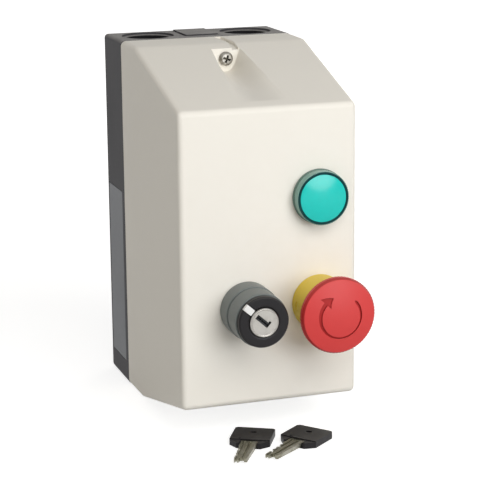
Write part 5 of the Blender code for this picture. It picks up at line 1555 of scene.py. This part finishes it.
def add_wires():
    left, right, down, up = (-1, 0, 0), (1, 0, 0), (0, 0, -1), (0, 0, 1)
    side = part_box("contactor_housing")[0].x - GAP
    inset = Vector((WIRE_RADIUS, WIRE_RADIUS, WIRE_RADIUS))
    low, high = (corner + shift for corner, shift in zip(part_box("coil_lead"), (inset, -inset)))
    centre = (low + high) / 2
    add_wire(
        "coil_wire", "coil_lead", (side, high.y, high.z), left,
        (side - WIRE_SWING, centre.y, centre.z), left, (side, low.y, low.z),
        BLUE, "enclosure")
    low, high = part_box("control_jumper")
    centre = (low + high) / 2
    level = high.z - WIRE_RADIUS
    add_wire(
        "jumper_wire", "control_jumper", (low.x, centre.y, level), right,
        (centre.x, centre.y, low.z + WIRE_RADIUS), left, (high.x, centre.y, level),
        COLLAR_GREY, "cover")
    low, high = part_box("pilot_lead")
    centre = (low + high) / 2
    x = low.x + WIRE_RADIUS
    add_wire(
        "pilot_wire", "pilot_lead", (x, centre.y, high.z), down,
        (high.x - WIRE_RADIUS, centre.y, centre.z), up, (x, centre.y, low.z),
        COLLAR_GREY, "cover")


# Stage, light and camera

FLOOR_SIZE = 4.0
FLOOR_DROP = 0.0002
FLOOR_COLOUR = (0.5, 0.5, 0.495, 1)
FLOOR_ROUGHNESS = 0.7
FLOOR_SHINE = 0.2
FLOOR_LIFT_NEAR = 0.78
FLOOR_LIFT_FAR = 0.95
FLOOR_LIFT_REACH = (0.2, 0.8)
WHITE_LIGHT = (1, 1, 1, 1)
ROOM_TINT = (1, 0.972, 0.925, 1)
ROOM_LEVEL = 0.1
LEFT_LEVEL = 1.0
BACK_LEVEL = 0.12
OVERHEAD_SHARE = 0.15
OVERHEAD_FADE = (0.0, 0.9)
LAMP_TARGET = (0, -0.08, 0)
CAMERA_PLACE = (-0.2927, -0.9795, 0.2209)
CAMERA_TURN = (76.826, 0.504, -18.625)
CAMERA_LENS = 132.93
CAMERA_SENSOR = 36
CAMERA_NEAR = 0.01
CAMERA_SHIFT = (-0.01381, -0.02961)


def seen_or_mirrored(tree):
    """1 where the eye sees a surface directly, in a mirror or through clear plastic."""
    path = add_node(tree, "ShaderNodeLightPath").outputs
    return larger(larger(path["Is Camera Ray"], path["Is Glossy Ray"]), path["Is Transmission Ray"])


def add_stage():
    """A pale floor that reads as white a little way off, with the object's soft shadow on it."""
    bm = bmesh.new()
    bmesh.ops.create_grid(bm, x_segments=1, y_segments=1, size=FLOOR_SIZE)
    floor = as_object("floor", bm, (0, 0, BOTTOM - FLOOR_DROP))
    made, tree, shader = new_finish("pale_floor")
    feed(shader["Base Color"], FLOOR_COLOUR)
    feed(shader["Roughness"], FLOOR_ROUGHNESS)
    feed(shader["Specular IOR Level"], FLOOR_SHINE)
    away = add_node(tree, "ShaderNodeVectorMath", {0: own_place(tree)}, operation="LENGTH")
    reach = ramp(away.outputs["Value"], *FLOOR_LIFT_REACH)
    lift = plus(times(reach, FLOOR_LIFT_FAR - FLOOR_LIFT_NEAR), FLOOR_LIFT_NEAR)
    feed(shader["Emission Color"], WHITE_LIGHT)
    feed(shader["Emission Strength"], times(seen_or_mirrored(tree), lift))
    floor.data.materials.append(made)


def add_world():
    """White to the eye and in mirrors, with a soft light from the left and from behind."""
    world = bpy.data.worlds.new("studio")
    bpy.context.scene.world = world
    world.use_nodes = True
    tree = world.node_tree
    background = tree.nodes["Background"].inputs
    seen = seen_or_mirrored(tree)
    ray = add_node(tree, "ShaderNodeTexCoord").outputs["Generated"]
    way = add_node(tree, "ShaderNodeSeparateXYZ", {"Vector": ray}).outputs
    left = times(larger(times(way["X"], -1.0), 0.0), LEFT_LEVEL)
    back = times(larger(way["Y"], 0.0), BACK_LEVEL)
    level = plus(plus(left, back), ROOM_LEVEL)
    fall = times(ramp(way["Z"], *OVERHEAD_FADE), 1.0 - OVERHEAD_SHARE)
    light = times(level, minus(1.0, fall))
    hidden = times(minus(1.0, seen), light)
    feed(background["Color"], mix_colour(seen, ROOM_TINT, WHITE_LIGHT))
    feed(background["Strength"], plus(seen, hidden))


def add_lamp(name, place, width, height, power, tint):
    """A soft oval lamp that looks at the middle of the box."""
    lamp = bpy.data.lights.new(name, "AREA")
    lamp.shape = "ELLIPSE"
    lamp.size = width
    lamp.size_y = height
    lamp.energy = power
    lamp.color = tint
    made = linked(name, lamp)
    made.location = place
    way = Vector(LAMP_TARGET) - Vector(place)
    made.rotation_euler = way.to_track_quat("-Z", "Y").to_euler()


def add_camera():
    lens = bpy.data.cameras.new("photo_camera")
    lens.sensor_width = CAMERA_SENSOR
    lens.lens = CAMERA_LENS
    lens.shift_x, lens.shift_y = CAMERA_SHIFT
    lens.clip_start = CAMERA_NEAR
    camera = linked("photo_camera", lens)
    camera.location = CAMERA_PLACE
    camera.rotation_euler = [math.radians(angle) for angle in CAMERA_TURN]
    bpy.context.scene.camera = camera


add_cover()
add_housing()
add_label()
add_gasket()
add_screws()
add_pilot()
add_key_switch()
add_emergency_stop()
add_key(1)
add_key(2)
dress_works()
add_springs()
add_wires()
add_terminal_screws()
add_stage()
add_world()
add_lamp("low_right_lamp", (0.49, -1.65, 0.36), 1.1, 0.7, 11.0, (0.96, 0.98, 1))
add_lamp("high_front_lamp", (0.2, -1.25, 1.05), 1.6, 0.9, 13.0, (1, 0.98, 0.95))
add_lamp("rear_right_lamp", (1.05, 1.1, 0.25), 0.8, 0.6, 8.5, (1, 0.975, 0.925))
add_camera()
bpy.context.scene.view_settings.view_transform = "Standard"
